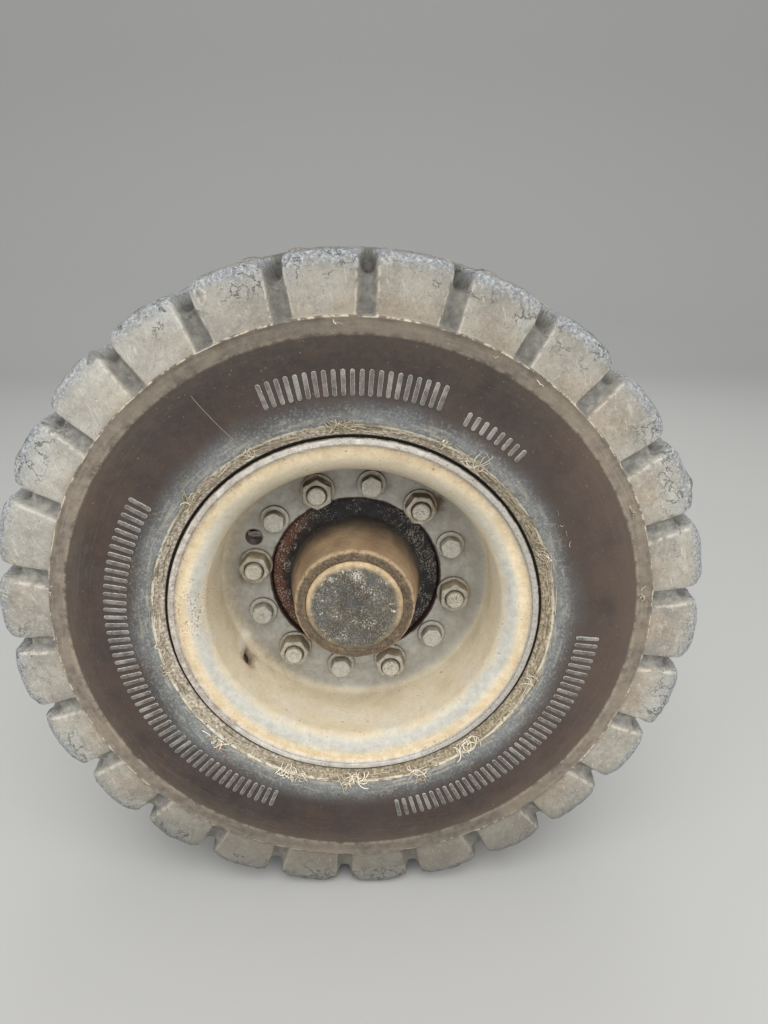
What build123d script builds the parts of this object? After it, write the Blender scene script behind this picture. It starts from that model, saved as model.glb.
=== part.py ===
from build123d import *
import math
import os

# A solid-tyred steer wheel on its steering knuckle, in millimetres with +Z up.
# The king pin stands along Z through the origin. The wheel turns about Y, and its outer face
# looks along -Y. Profiles are drawn in the XY plane, X being the radius, and turned about Y.

# Tyre
tyre_diameter = 560.0
tyre_width = 162.5
tread_width = 136.0
lug_count = 26
groove_width = 14.5
groove_tip_width = 9.0
groove_phase = 4.1
side_groove_depth = 8.0
tread_groove_depth = 18.0
centre_rib = 30.0
shoulder_cut = 8.0
wear_line_radius = 236.0
wear_band_height = 11.5
wear_band_rise = 0.8
wear_ledge = 1.5
bead_lip_radius = 151.5
bead_lip_depth = 3.0
bead_step_radius = 159.5
bead_step_depth = 5.5
bead_curve_height = 24.0
bead_curve_radius = 70.0
tyre_seat_gap = 0.3

# Rim
seat_radius = 126.6
seat_taper = 2.0
rim_width = 127.0
lip_radius = 148.8
flange_curl = 8.5
lip_straight = 0.5
flange_root = 8.0
rim_metal = 5.4
disc_fillet = 8.0
disc_offset = 9.0
disc_bore_radius = 75.4
drain_hole_radius = 7.0
drain_pitch_radius = 97.6
drain_angle = 155.6
valve_slot_length = 20.0
valve_slot_width = 11.0
valve_slot_angle = -145.0
valve_slot_from_disc = 13.0

# Wheel studs, nuts and rim bolts
fastener_count = 6
stud_pitch_radius = 89.5
stud_radius = 8.0
stud_angle = 110.5
stud_proud = 21.0
stud_head_height = 7.0
stud_head_radius = 12.0
wheel_nut_flats = 24.0
wheel_nut_height = 13.0
# A corner of each wheel nut, in degrees up from +X, as the nuts were left
wheel_nut_turns = (30.0, 56.0, 27.0, 46.0, 2.0, 49.0)
wheel_washer_radius = 14.75
wheel_washer_thickness = 3.0
bolt_pitch_radius = 90.2
bolt_radius = 5.0
bolt_angle = 80.5
bolt_flats = 17.0
bolt_head_height = 9.0
bolt_washer_radius = 12.5
bolt_washer_thickness = 3.0
bolt_nut_height = 8.5
bolt_tail = 3.5
hole_clearance = 0.5
chamfer_size = 1.2
hex_chamfer = 1.5

# Hub
hub_pilot_gap = 0.4
hub_pilot_length = 6.5
hub_flange_thickness = 12.0
hub_flange_radius = 78.5
hub_lobe_radius = 17.5
hub_lobe_fillet = 8.0
hub_barrel_root_radius = 59.4
hub_barrel_tip_radius = 50.0
hub_front_recess = 20.4
hub_front_chamfer = 2.0
hub_tail_radius = 60.0
hub_tail_length = 43.0
hub_tail_chamfer = 8.0
cap_radius = 40.7
cap_proud = 2.2
cap_metal = 2.0
cap_edge_radius = 3.0
cap_spigot_length = 12.0
cap_gap = 0.1
seal_width = 8.0
seal_radius = 50.0

# Knuckle
wheel_offset = 132.0
spindle_tip_radius = 24.0
spindle_mid_radius = 30.0
spindle_seal_radius = 38.0
spindle_tip_length = 34.0
spindle_end_gap = 6.0
running_gap = 0.08
root_radius = 52.0
root_thickness = 8.0
root_gap = 5.0
root_height = 124.0
root_waist = 31.0
barrel_radius = 38.0
barrel_height = 148.0
barrel_spot_radius = 31.0
barrel_spot_height = 3.0
king_pin_radius = 17.5
arm_reach = 128.0
arm_swing = 22.0
arm_thickness = 28.0
arm_level = -34.0
arm_root_radius = 34.0
eye_radius = 25.0
eye_bore_radius = 11.0

# Stations along the spin axis
wheel_y = -wheel_offset
rim_lip_y = wheel_y - rim_width / 2 - flange_curl - lip_straight
joint_y = wheel_y + disc_offset
disc_face_y = joint_y - rim_metal
flange_face_y = joint_y + rim_metal
hub_front_y = rim_lip_y + hub_front_recess
pilot_face_y = flange_face_y - hub_pilot_length
hub_flange_back_y = flange_face_y + hub_flange_thickness
hub_tail_y = hub_flange_back_y + hub_tail_length
cap_face_y = hub_front_y - cap_proud
spindle_end_y = hub_front_y + cap_spigot_length + spindle_end_gap
bow = math.sin(math.radians(45))


def ring_places(radius, start_angle):
    """Centres of the six fasteners of one ring, as (x, z, angle)."""
    places = []
    for index in range(fastener_count):
        angle = start_angle - index * 360 / fastener_count
        x = radius * math.cos(math.radians(angle))
        z = radius * math.sin(math.radians(angle))
        places.append((x, z, angle))
    return places


def across(x, z, y):
    """A plane square to the spin axis at y, whose normal points inboard."""
    return Plane(origin=(x, y, z), x_dir=(1, 0, 0), z_dir=(0, 1, 0))


stud_places = ring_places(stud_pitch_radius, stud_angle)
bolt_places = ring_places(bolt_pitch_radius, bolt_angle)
drain_place = (
    drain_pitch_radius * math.cos(math.radians(drain_angle)),
    drain_pitch_radius * math.sin(math.radians(drain_angle)),
)

# The wheel's mid plane, and a point given by its radius and its distance outboard of that plane
wheel_plane = Plane.XZ.offset(-wheel_y)


def at(radius, out):
    return (radius, wheel_y - out)


# Tyre: a turned blank, then one groove cutter repeated round each shoulder
half_tyre = tyre_width / 2
half_tread = tread_width / 2
half_rim = rim_width / 2
lip_out = half_rim + flange_curl
seat = seat_radius + tyre_seat_gap
bead_out = half_rim - tyre_seat_gap
curl_centre = lip_radius - flange_curl
hollow_radius = flange_curl + tyre_seat_gap
side_out = half_tyre - wear_band_rise
wear_foot = wear_line_radius - wear_band_height
lug_foot_out = half_tyre - wear_ledge
shoulder_out = half_tread + shoulder_cut

with BuildPart() as groove_section:
    # The groove runs up the lug's side, turns over the shoulder and stops at the centre rib
    floor_out = lug_foot_out - side_groove_depth
    floor_radius = tyre_diameter / 2 - tread_groove_depth
    sole_radius = wear_line_radius + wear_ledge
    with BuildSketch(Plane.XY):
        with BuildLine():
            Polyline(
                at(floor_radius, centre_rib / 2),
                at(tyre_diameter, centre_rib / 2),
                at(tyre_diameter, tyre_width),
                at(sole_radius, tyre_width),
                at(sole_radius, floor_out),
                at(floor_radius, floor_out),
                close=True,
            )
        make_face()
    extrude(amount=groove_width, both=True)

with BuildPart() as groove_plan:
    # Seen from outside it is parallel past the shoulder and narrows to its end at the centre rib
    tip_y = wheel_y - centre_rib / 2
    with BuildSketch(Plane.YZ):
        with BuildLine():
            Polyline(
                (tip_y, -groove_tip_width / 2),
                (wheel_y - half_tread, -groove_width / 2),
                (wheel_y - tyre_width, -groove_width / 2),
                (wheel_y - tyre_width, groove_width / 2),
                (wheel_y - half_tread, groove_width / 2),
                (tip_y, groove_tip_width / 2),
                close=True,
            )
        make_face()
    extrude(amount=tyre_diameter)

outer_groove = groove_section.part & groove_plan.part
inner_groove = mirror(outer_groove, about=wheel_plane)

with BuildPart() as tyre:
    with BuildSketch(Plane.XY):
        with BuildLine():
            Polyline(
                at(seat, 0),
                at(seat, bead_out - flange_root),
                at(seat + flange_root, bead_out),
                at(curl_centre, bead_out),
            )
            RadiusArc(
                at(curl_centre, bead_out),
                at(curl_centre + hollow_radius * bow, lip_out - hollow_radius * bow),
                hollow_radius,
            )
            Polyline(
                at(curl_centre + hollow_radius * bow, lip_out - hollow_radius * bow),
                at(bead_lip_radius, lip_out - bead_lip_depth),
                at(bead_step_radius, half_tyre - bead_step_depth),
            )
            RadiusArc(
                at(bead_step_radius, half_tyre - bead_step_depth),
                at(bead_step_radius + bead_curve_height, side_out),
                -bead_curve_radius,
            )
            Polyline(
                at(bead_step_radius + bead_curve_height, side_out),
                at(wear_foot, side_out),
                at(wear_foot + wear_band_rise, half_tyre),
                at(wear_line_radius, half_tyre),
                at(wear_line_radius, lug_foot_out),
                at(tyre_diameter / 2 - shoulder_cut, shoulder_out),
                at(tyre_diameter / 2, half_tread),
                at(tyre_diameter / 2, 0),
            )
            mirror(about=wheel_plane)
        make_face()
    revolve(axis=Axis.Y)
    # The inboard lugs stand half a pitch on from the outboard ones
    pitch = 360 / lug_count
    grooves = []
    for cutter, start_angle in ((outer_groove, groove_phase), (inner_groove, groove_phase + pitch / 2)):
        for index in range(lug_count):
            grooves.append(cutter.rotate(Axis.Y, -start_angle - index * pitch))
    add(grooves, mode=Mode.SUBTRACT)
tyre.part.label = "tyre"


def rim_half(joint_out):
    """A pressed rim half drawn outboard of the mid plane, joint_out being where its disc is bolted."""
    low_seat = seat_radius - seat_taper
    with BuildPart() as half:
        with BuildSketch(Plane.XY):
            with BuildLine():
                FilletPolyline(
                    at(disc_bore_radius, joint_out),
                    at(low_seat, joint_out),
                    at(seat_radius, half_rim),
                    at(lip_radius, half_rim),
                    at(lip_radius, lip_out + lip_straight),
                    radius=(disc_fillet + rim_metal, flange_root, flange_curl),
                )
                offset(amount=rim_metal, side=Side.RIGHT)
            make_face()
        revolve(axis=Axis.Y)
        with BuildSketch(Plane.XZ.offset(joint_out - wheel_y)):
            for x, z, angle in stud_places:
                with Locations((x, z)):
                    Circle(stud_radius + hole_clearance)
            for x, z, angle in bolt_places:
                with Locations((x, z)):
                    Circle(bolt_radius + hole_clearance)
            with Locations(drain_place):
                Circle(drain_hole_radius)
        extrude(amount=rim_metal, mode=Mode.SUBTRACT)
    return half.part


with BuildPart() as valve_slot:
    with BuildSketch(Plane.YZ.offset(disc_bore_radius)):
        with Locations((disc_face_y - valve_slot_from_disc, 0)):
            SlotOverall(valve_slot_length, valve_slot_width)
    extrude(amount=seat_radius)

with BuildPart() as rim_outer:
    add(rim_half(-disc_offset))
    add(valve_slot.part.rotate(Axis.Y, -valve_slot_angle), mode=Mode.SUBTRACT)
rim_outer.part.label = "rim_outer"

with BuildPart() as rim_inner:
    add(mirror(rim_half(disc_offset), about=wheel_plane))
rim_inner.part.label = "rim_inner"

# Hub: flange behind the discs, pilot in their bore, long barrel out to the grease cap
tip_bore = spindle_tip_radius + running_gap
mid_bore = spindle_mid_radius + running_gap
spindle_step_y = spindle_end_y + spindle_tip_length
seal_seat_y = hub_tail_y - seal_width
cap_bore = cap_radius + cap_gap
cap_seat_y = hub_front_y + cap_spigot_length
pilot_radius = disc_bore_radius - hub_pilot_gap

with BuildPart() as hub:
    with BuildSketch(Plane.XY):
        with BuildLine():
            Polyline(
                (cap_bore, hub_front_y),
                (hub_barrel_tip_radius - hub_front_chamfer, hub_front_y),
                (hub_barrel_tip_radius, hub_front_y + hub_front_chamfer),
                (hub_barrel_root_radius, pilot_face_y),
                (pilot_radius - chamfer_size, pilot_face_y),
                (pilot_radius, pilot_face_y + chamfer_size),
                (pilot_radius, flange_face_y),
                (hub_flange_radius, flange_face_y),
                (hub_flange_radius, hub_flange_back_y),
                (hub_tail_radius + hub_tail_chamfer, hub_flange_back_y),
                (hub_tail_radius, hub_flange_back_y + hub_tail_chamfer),
                (hub_tail_radius, hub_tail_y),
                (seal_radius + cap_gap, hub_tail_y),
                (seal_radius + cap_gap, seal_seat_y),
                (mid_bore, seal_seat_y),
                (mid_bore, spindle_step_y),
                (tip_bore, spindle_step_y),
                (tip_bore, cap_seat_y),
                (cap_bore, cap_seat_y),
                close=True,
            )
        make_face()
    revolve(axis=Axis.Y)
    # Six lobes carry the studs and leave room between them for the rim bolts' nuts
    with BuildSketch(Plane.XZ.offset(-flange_face_y)) as lobes:
        Circle(hub_flange_radius)
        for x, z, angle in stud_places:
            with Locations((x, z)):
                Circle(hub_lobe_radius)
        fillet(lobes.vertices(), hub_lobe_fillet)
        Circle(hub_tail_radius, mode=Mode.SUBTRACT)
    extrude(amount=-hub_flange_thickness)
    with BuildSketch(Plane.XZ.offset(-flange_face_y)):
        for x, z, angle in stud_places:
            with Locations((x, z)):
                Circle(stud_radius + cap_gap)
    extrude(amount=-hub_flange_thickness, mode=Mode.SUBTRACT)
hub.part.label = "hub"

# The cap is a pressed cup, open towards the spindle
with BuildPart() as hub_cap:
    with BuildSketch(Plane.XY):
        with BuildLine():
            inner_radius = cap_radius - cap_metal
            Line((0, cap_face_y), (cap_radius - cap_edge_radius, cap_face_y))
            RadiusArc(
                (cap_radius - cap_edge_radius, cap_face_y),
                (cap_radius, cap_face_y + cap_edge_radius),
                -cap_edge_radius,
            )
            Line((cap_radius, cap_face_y + cap_edge_radius), (cap_radius, cap_seat_y))
            Line((cap_radius, cap_seat_y), (inner_radius, cap_seat_y))
            Line((inner_radius, cap_seat_y), (inner_radius, cap_face_y + cap_metal))
            Line((inner_radius, cap_face_y + cap_metal), (0, cap_face_y + cap_metal))
            Line((0, cap_face_y + cap_metal), (0, cap_face_y))
        make_face()
    revolve(axis=Axis.Y)
hub_cap.part.label = "hub_cap"

with BuildPart() as hub_seal:
    with BuildSketch(Plane.XY):
        with Locations(((seal_radius + spindle_seal_radius) / 2, seal_seat_y + seal_width / 2)):
            Rectangle(seal_radius - spindle_seal_radius - 2 * running_gap, seal_width)
    revolve(axis=Axis.Y)
hub_seal.part.label = "hub_seal"


def hex_block(x, z, y, flats, height, turn, outward=-1):
    """A hexagon standing on the plane at y, outboard for -1, chamfered round its outer face."""
    with BuildPart() as block:
        with BuildSketch(across(x, z, y)):
            RegularPolygon(flats / 2, 6, major_radius=False, rotation=-turn)
        extrude(amount=outward * height)
        outer_face = block.faces().sort_by(Axis.Y)[0 if outward < 0 else -1]
        chamfer(outer_face.edges(), hex_chamfer)
    return block.part


# Studs, wheel nuts, rim bolts and their nuts, one node each. Nuts and bolts carry their washers.
small_parts = []
stud_end_y = disc_face_y - stud_proud
nut_seat_y = disc_face_y - wheel_washer_thickness
for index, (x, z, angle) in enumerate(stud_places, start=1):
    turn = wheel_nut_turns[index - 1]
    with BuildPart() as stud:
        with BuildSketch(across(x, z, hub_flange_back_y)):
            Circle(stud_head_radius)
        extrude(amount=stud_head_height)
        with BuildSketch(across(x, z, hub_flange_back_y)):
            Circle(stud_radius)
        extrude(amount=stud_end_y - hub_flange_back_y)
    stud.part.label = f"wheel_stud_{index}"
    small_parts.append(stud.part)

    with BuildPart() as nut:
        add(hex_block(x, z, nut_seat_y, wheel_nut_flats, wheel_nut_height, turn))
        with BuildSketch(across(x, z, disc_face_y)):
            Circle(wheel_washer_radius)
        extrude(amount=-wheel_washer_thickness)
        with BuildSketch(across(x, z, disc_face_y)):
            Circle(stud_radius + cap_gap)
        extrude(amount=-wheel_washer_thickness - wheel_nut_height, mode=Mode.SUBTRACT)
    nut.part.label = f"wheel_nut_{index}"
    small_parts.append(nut.part)

bolt_seat_y = disc_face_y - bolt_washer_thickness
bolt_end_y = flange_face_y + bolt_nut_height + bolt_tail
for index, (x, z, angle) in enumerate(bolt_places, start=1):
    with BuildPart() as bolt:
        add(hex_block(x, z, bolt_seat_y, bolt_flats, bolt_head_height, angle))
        with BuildSketch(across(x, z, bolt_seat_y)):
            Circle(bolt_washer_radius)
        extrude(amount=bolt_washer_thickness)
        with BuildSketch(across(x, z, disc_face_y)):
            Circle(bolt_radius)
        extrude(amount=bolt_end_y - disc_face_y)
    bolt.part.label = f"rim_bolt_{index}"
    small_parts.append(bolt.part)

    with BuildPart() as bolt_nut:
        add(hex_block(x, z, flange_face_y, bolt_flats, bolt_nut_height, angle, outward=1))
        with BuildSketch(across(x, z, flange_face_y)):
            Circle(bolt_radius + cap_gap)
        extrude(amount=bolt_nut_height, mode=Mode.SUBTRACT)
    bolt_nut.part.label = f"rim_bolt_nut_{index}"
    small_parts.append(bolt_nut.part)

# Knuckle: upright barrel, stepped spindle with a broad root, and steering arm, one forging
root_y = hub_tail_y + root_gap
root_back_y = root_y + root_thickness
arm_angle = math.radians(180 - arm_swing)
eye_x = arm_reach * math.cos(arm_angle)
eye_y = arm_reach * math.sin(arm_angle)

with BuildPart() as knuckle:
    with BuildSketch(Plane.XY):
        with BuildLine():
            Polyline(
                (0, spindle_end_y),
                (spindle_tip_radius - chamfer_size, spindle_end_y),
                (spindle_tip_radius, spindle_end_y + chamfer_size),
                (spindle_tip_radius, spindle_step_y),
                (spindle_mid_radius, spindle_step_y),
                (spindle_mid_radius, seal_seat_y),
                (spindle_seal_radius, seal_seat_y),
                (spindle_seal_radius, root_y),
                (root_radius, root_y),
                (root_radius, root_back_y),
                (root_height / 2, 0),
                (0, 0),
                close=True,
            )
        make_face()
    revolve(axis=Axis.Y)
    # Behind its round face the root grows taller, and in plan it narrows to the barrel
    with BuildSketch(Plane.XY):
        with BuildLine():
            Polyline(
                (root_radius, spindle_end_y),
                (root_radius, root_back_y),
                (root_waist, 0),
                (-root_waist, 0),
                (-root_radius, root_back_y),
                (-root_radius, spindle_end_y),
                close=True,
            )
        make_face()
    extrude(amount=root_height, both=True, mode=Mode.INTERSECT)
    with BuildSketch(Plane.XY.offset(-barrel_height / 2)):
        Circle(barrel_radius)
    extrude(amount=barrel_height)
    with BuildSketch(Plane.XY.offset(arm_level - arm_thickness / 2)):
        with BuildSketch(mode=Mode.PRIVATE) as ends:
            Circle(arm_root_radius)
            with Locations((eye_x, eye_y)):
                Circle(eye_radius)
        make_hull(ends.sketch.edges())
    extrude(amount=arm_thickness)
    with BuildSketch(Plane.XY.offset(-barrel_height / 2 - barrel_spot_height)):
        Circle(barrel_spot_radius)
    extrude(amount=barrel_height + 2 * barrel_spot_height)
    with BuildSketch(Plane.XY.offset(-barrel_height)):
        Circle(king_pin_radius)
        with Locations((eye_x, eye_y)):
            Circle(eye_bore_radius)
    extrude(amount=2 * barrel_height, mode=Mode.SUBTRACT)
knuckle.part.label = "knuckle"

os.makedirs("parts", exist_ok=True)
wheel_parts = [tyre.part, rim_outer.part, rim_inner.part, hub.part, hub_cap.part, hub_seal.part]
for piece in wheel_parts + small_parts + [knuckle.part]:
    export_step(piece, f"parts/{piece.label}.step")
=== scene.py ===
import math

import bpy
import numpy as np
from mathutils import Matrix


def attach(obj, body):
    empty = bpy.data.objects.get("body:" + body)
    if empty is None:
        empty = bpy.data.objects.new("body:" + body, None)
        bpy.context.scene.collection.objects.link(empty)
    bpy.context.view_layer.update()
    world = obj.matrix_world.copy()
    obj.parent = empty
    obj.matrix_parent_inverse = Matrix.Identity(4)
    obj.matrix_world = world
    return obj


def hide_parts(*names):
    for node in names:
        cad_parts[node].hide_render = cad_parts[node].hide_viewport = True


# A worn solid-tyred steer wheel with its two-piece rim, hub, nuts and steering knuckle.
# Outlines are in millimetres and meshes in metres, +Z up. The wheel turns about the Y axis
# and shows its outer face to -Y. "out" is the distance outboard of the wheel's mid plane.

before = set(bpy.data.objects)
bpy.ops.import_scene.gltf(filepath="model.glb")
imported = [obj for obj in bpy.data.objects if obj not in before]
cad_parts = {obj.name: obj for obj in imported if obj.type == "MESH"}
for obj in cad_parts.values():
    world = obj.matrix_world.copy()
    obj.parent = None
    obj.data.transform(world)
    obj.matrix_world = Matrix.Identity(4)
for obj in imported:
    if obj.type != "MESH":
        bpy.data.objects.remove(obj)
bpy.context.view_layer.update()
wheelOut = 132.0


def toLinear(hexText):
    channels = [int(hexText[place:place + 2], 16) / 255 for place in (1, 3, 5)]
    linear = [c / 12.92 if c <= 0.04045 else ((c + 0.055) / 1.055) ** 2.4 for c in channels]
    return (*linear, 1.0)


# Smooth value noise from -1 to 1: points in mm, grain is the size of its lumps
def lumps(points, grain, seed):
    table = np.random.default_rng(seed).uniform(-1, 1, 4096)  # the hash below picks from these
    scaled = np.asarray(points, float) / grain
    cell = np.floor(scaled).astype(np.int64)
    part = scaled - cell
    part = part * part * (3 - 2 * part)
    total = np.zeros(scaled.shape[:-1])
    for corner in range(8):
        step = np.array([corner & 1, corner >> 1 & 1, corner >> 2 & 1])
        key = (cell + step) @ np.array([1619, 31337, 6971])
        share = np.prod(np.where(step, part, 1 - part), axis=-1)
        total += share * table[(key ^ (key >> 7)) % 4096]
    return total


# Several sizes of lumps together, each as (height, size), with a seed of its own
def bumpy(points, sizes, seed, start=0):
    total = start
    for height, grain in sizes:
        total = total + height * lumps(points, grain, seed)
        seed += 1
    return total


def smoothStep(value, low, high):
    share = np.clip((value - low) / (high - low), 0, 1)
    return share * share * (3 - 2 * share)


# Angles all the way round, in radians
def roundTurns(count):
    return np.linspace(0, 2 * math.pi, count, endpoint=False)


# A place (x, z) on a circle round the wheel's axis, in degrees up from +X
def polar(radius, degrees):
    turn = math.radians(degrees)
    return radius * math.cos(turn), radius * math.sin(turn)


# Puts a mesh, lamp or camera in the scene
def placed(name, data):
    holder = bpy.data.objects.new(name, data)
    bpy.context.scene.collection.objects.link(holder)
    return holder


def smoothMesh(name, vertices, faces):
    mesh = bpy.data.meshes.new(name)
    mesh.from_pydata(vertices, [], faces)
    mesh.polygons.foreach_set("use_smooth", np.ones(len(mesh.polygons), bool))
    mesh.update()
    return placed(name, mesh)


# Gives a piece the mesh that its modifiers make of it
def applyModifiers(piece):
    graph = bpy.context.evaluated_depsgraph_get()
    mesh = bpy.data.meshes.new_from_object(piece.evaluated_get(graph))
    piece.modifiers.clear()
    piece.data = mesh


# Joins grids of points (rows, columns, xyz in mm) into one mesh object. A ring's rows close on
# themselves as its columns do, and a plug has a flat end at its first and last row.
def gridMesh(name, rings=(), plugs=()):
    vertices, faces, start = [], [], 0
    for points, isRing in [(grid, True) for grid in rings] + [(grid, False) for grid in plugs]:
        rows, columns = points.shape[:2]
        index = np.arange(rows * columns).reshape(rows, columns)
        low, high = (index, np.roll(index, -1, 0)) if isRing else (index[:-1], index[1:])
        quads = np.stack([low, np.roll(low, -1, 1), np.roll(high, -1, 1), high], -1).reshape(-1, 4)
        loops = (start + quads).tolist()
        if not isRing:
            loops += [(start + index[0][::-1]).tolist(), (start + index[-1]).tolist()]
        corners = (points.reshape(-1, 3) - points.mean((0, 1)))[quads]
        volume = np.einsum("ij,ij->", corners[:, 0], np.cross(corners[:, 1], corners[:, 2]))
        volume += np.einsum("ij,ij->", corners[:, 0], np.cross(corners[:, 2], corners[:, 3]))
        faces += loops if volume > 0 else [loop[::-1] for loop in loops]
        vertices.append(points.reshape(-1, 3))
        start += rows * columns
    return smoothMesh(name, (np.concatenate(vertices) / 1000).tolist(), faces)


# Gives a piece its finish, its body and the CAD node it stands for; the record's slot argument is not used
def dress(piece, material, body, slot, *nodes):
    piece.data.materials.clear()
    piece.data.materials.append(material)
    if nodes:
        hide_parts(*nodes)
    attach(piece, body)


# Points of a grid turned round the wheel's axis: radius and out may differ along each row
def turned(radius, out, angles):
    radius, out, angles = np.broadcast_arrays(radius, out, angles)
    return np.stack([radius * np.cos(angles), -wheelOut - out, radius * np.sin(angles)], -1)


# Unit normals of a grid that closes both ways
def gridNormals(points):
    along = np.roll(points, -1, 0) - np.roll(points, 1, 0)
    around = np.roll(points, -1, 1) - np.roll(points, 1, 1)
    normal = np.cross(around, along)
    return normal / np.maximum(np.linalg.norm(normal, axis=-1, keepdims=True), 1e-9)


def setAttribute(piece, name, values):
    attribute = piece.data.attributes.new(name, "FLOAT", "POINT")
    attribute.data.foreach_set("value", np.asarray(values, np.float32).ravel())


# Adds a shader node: settings go on the node, and inputs are values or the sockets that feed them
def addNode(tree, kind, inputs=None, stops=None, **settings):
    node = tree.nodes.new("ShaderNode" + kind)
    for name, value in settings.items():
        setattr(node, name, value)
    for name, value in (inputs or {}).items():
        if isinstance(value, bpy.types.NodeSocket):
            tree.links.new(value, node.inputs[name])
        else:
            node.inputs[name].default_value = value
    if stops:
        elements = node.color_ramp.elements
        while len(elements) < len(stops):
            elements.new(0.5)
        for element, (position, shade) in zip(elements, stops):
            element.position = position
            element.color = toLinear(shade) if isinstance(shade, str) else (shade, shade, shade, 1)
    return node


# How the noise is read: the part of its range that a layer's colours and a grain run over, how far
# apart the patterns start, and the radius of the circle that an arc's pattern is read along, in mm
noise = {"colours": (0.32, 0.68), "grain": (0.3, 0.7), "apart": (61.7, 23.9), "arcRun": (22, 22, 22)}


# Makes a finish from its recipe, laid on like paint. A layer is its strength, its colour or a pattern
# with the colours it runs through, and the gates it shows through. A gate names what is measured, where
# the layer ends and where it is full, and can add a pattern that tears its edge by so many mm. Places
# are in mm from the wheel's own axes, so dust and wear stay on the wheel as it turns. A pattern has its
# grain in mm, its detail, its roughness and how it is stretched. Real grit, pores and hair scratches are
# finer than the 0.8 mm or so that a pixel covers, so they are drawn 0.8 to 2.4 mm coarse, to show.
def makeFinish(name, recipe):
    material = bpy.data.materials.new(name)
    material.use_nodes = True
    tree = material.node_tree
    shader = tree.nodes["Principled BSDF"]
    coordinates = addNode(tree, "TexCoord").outputs
    place = addNode(tree, "VectorMath", {0: coordinates["Object"], "Scale": 1000.0},
                    operation="SCALE").outputs[0]
    flat = addNode(tree, "VectorMath", {0: place, 1: (1, 0, 1)}, operation="MULTIPLY").outputs[0]
    radius = addNode(tree, "VectorMath", {0: flat}, operation="LENGTH").outputs["Value"]
    axes = addNode(tree, "SeparateXYZ", {0: place}).outputs
    facing = addNode(tree, "SeparateXYZ", {0: coordinates["Normal"]}).outputs
    made = {
        "x": axes[0],
        "z": axes[2],
        "out": addNode(tree, "Math", {0: -wheelOut, 1: axes[1]}, operation="SUBTRACT").outputs[0],
        "radius": radius,
        "up": facing[2],
        "outward": addNode(tree, "Math", {0: 0.0, 1: facing[1]}, operation="SUBTRACT").outputs[0],
    }

    # A pattern, the distance from a spot (x, z), how open a corner is, or an attribute of the mesh
    def measure(what):
        if what in made:
            return made[what]
        if what in recipe["patterns"]:
            grain, detail, roughness, *stretch = recipe["patterns"][what]
            vector, stretch = place, stretch[0] if stretch else (1, 1, 1)
            if stretch == "arcs":
                along = addNode(tree, "VectorMath", {0: flat}, operation="NORMALIZE").outputs[0]
                rise = addNode(tree, "CombineXYZ", {1: radius}).outputs[0]
                vector = addNode(tree, "VectorMath", {0: along, 1: noise["arcRun"], 2: rise},
                                 operation="MULTIPLY_ADD").outputs[0]
                stretch = (1, 1, 1)
            if len(stretch) > 3:  # its fourth number turns the pattern about the wheel's axis, in degrees
                turn = {"Vector": vector, "Angle": math.radians(stretch[3])}
                vector = addNode(tree, "VectorRotate", turn, rotation_type="Y_AXIS").outputs[0]
                stretch = stretch[:3]
            shift = (len(made) * noise["apart"][0], len(made) * noise["apart"][1], 0)
            vector = addNode(tree, "VectorMath", {0: vector, 1: stretch, 2: shift},
                             operation="MULTIPLY_ADD").outputs[0]
            made[what] = addNode(tree, "TexNoise", {"Vector": vector, "Scale": 1 / grain, "Detail": detail,
                                                    "Roughness": roughness}).outputs["Fac"]
        elif isinstance(what, tuple):
            made[what] = addNode(tree, "VectorMath", {0: flat, 1: (what[0], 0, what[1])},
                                 operation="DISTANCE").outputs["Value"]
        elif what == "open":
            made[what] = addNode(tree, "AmbientOcclusion", {"Distance": recipe["cornerReach"] / 1000},
                                 samples=8).outputs["AO"]
        else:
            made[what] = addNode(tree, "Attribute", attribute_name=what).outputs["Fac"]
        return made[what]

    def through(share, gates):
        for what, none, full, *ragged in gates:
            reading = measure(what)
            if ragged:
                pattern, reach = ragged
                wobble = addNode(tree, "Math", {0: measure(pattern), 1: reach, 2: -reach / 2},
                                 operation="MULTIPLY_ADD").outputs[0]
                reading = addNode(tree, "Math", {0: reading, 1: wobble}, operation="ADD").outputs[0]
            gate = addNode(tree, "MapRange", {0: reading, 1: none, 2: full},
                           interpolation_type="SMOOTHSTEP").outputs[0]
            share = addNode(tree, "Math", {0: gate, 1: share}, operation="MULTIPLY").outputs[0]
        return share

    colour = None
    for strength, shades, *gates in recipe["layers"]:
        if isinstance(shades, str):
            shade = toLinear(shades)
        else:
            stops = list(zip(np.linspace(*noise["colours"], len(shades) - 1), shades[1:]))
            shade = addNode(tree, "ValToRGB", {0: measure(shades[0])}, stops).outputs["Color"]
        if colour is None:
            colour = shade
        else:
            colour = addNode(tree, "MixRGB", {0: through(strength, gates), 1: colour, 2: shade}).outputs[0]
    for pattern, amount in recipe.get("grain", ()):
        low, high = noise["grain"]
        value = addNode(tree, "MapRange", {0: measure(pattern), 1: low, 2: high, 3: 1 - amount,
                                           4: 1 + amount}).outputs[0]
        colour = addNode(tree, "HueSaturation", {"Value": value, "Color": colour}).outputs[0]
    tree.links.new(colour, shader.inputs["Base Color"])

    shader.inputs["Roughness"].default_value = recipe["roughness"][0]
    if len(recipe["roughness"]) > 1:
        level, pattern, amount = recipe["roughness"]
        rough = addNode(tree, "Math", {0: measure(pattern), 1: amount, 2: level}, operation="MULTIPLY_ADD")
        tree.links.new(rough.outputs[0], shader.inputs["Roughness"])
    height = 0.0
    for pattern, depth, *gates in recipe["relief"]:
        height = addNode(tree, "Math", {0: measure(pattern), 1: through(depth, gates), 2: height},
                         operation="MULTIPLY_ADD").outputs[0]
    bump = addNode(tree, "Bump", {"Height": height, "Distance": 0.001})
    tree.links.new(bump.outputs[0], shader.inputs["Normal"])
    return material


print("helpers ready")

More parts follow.
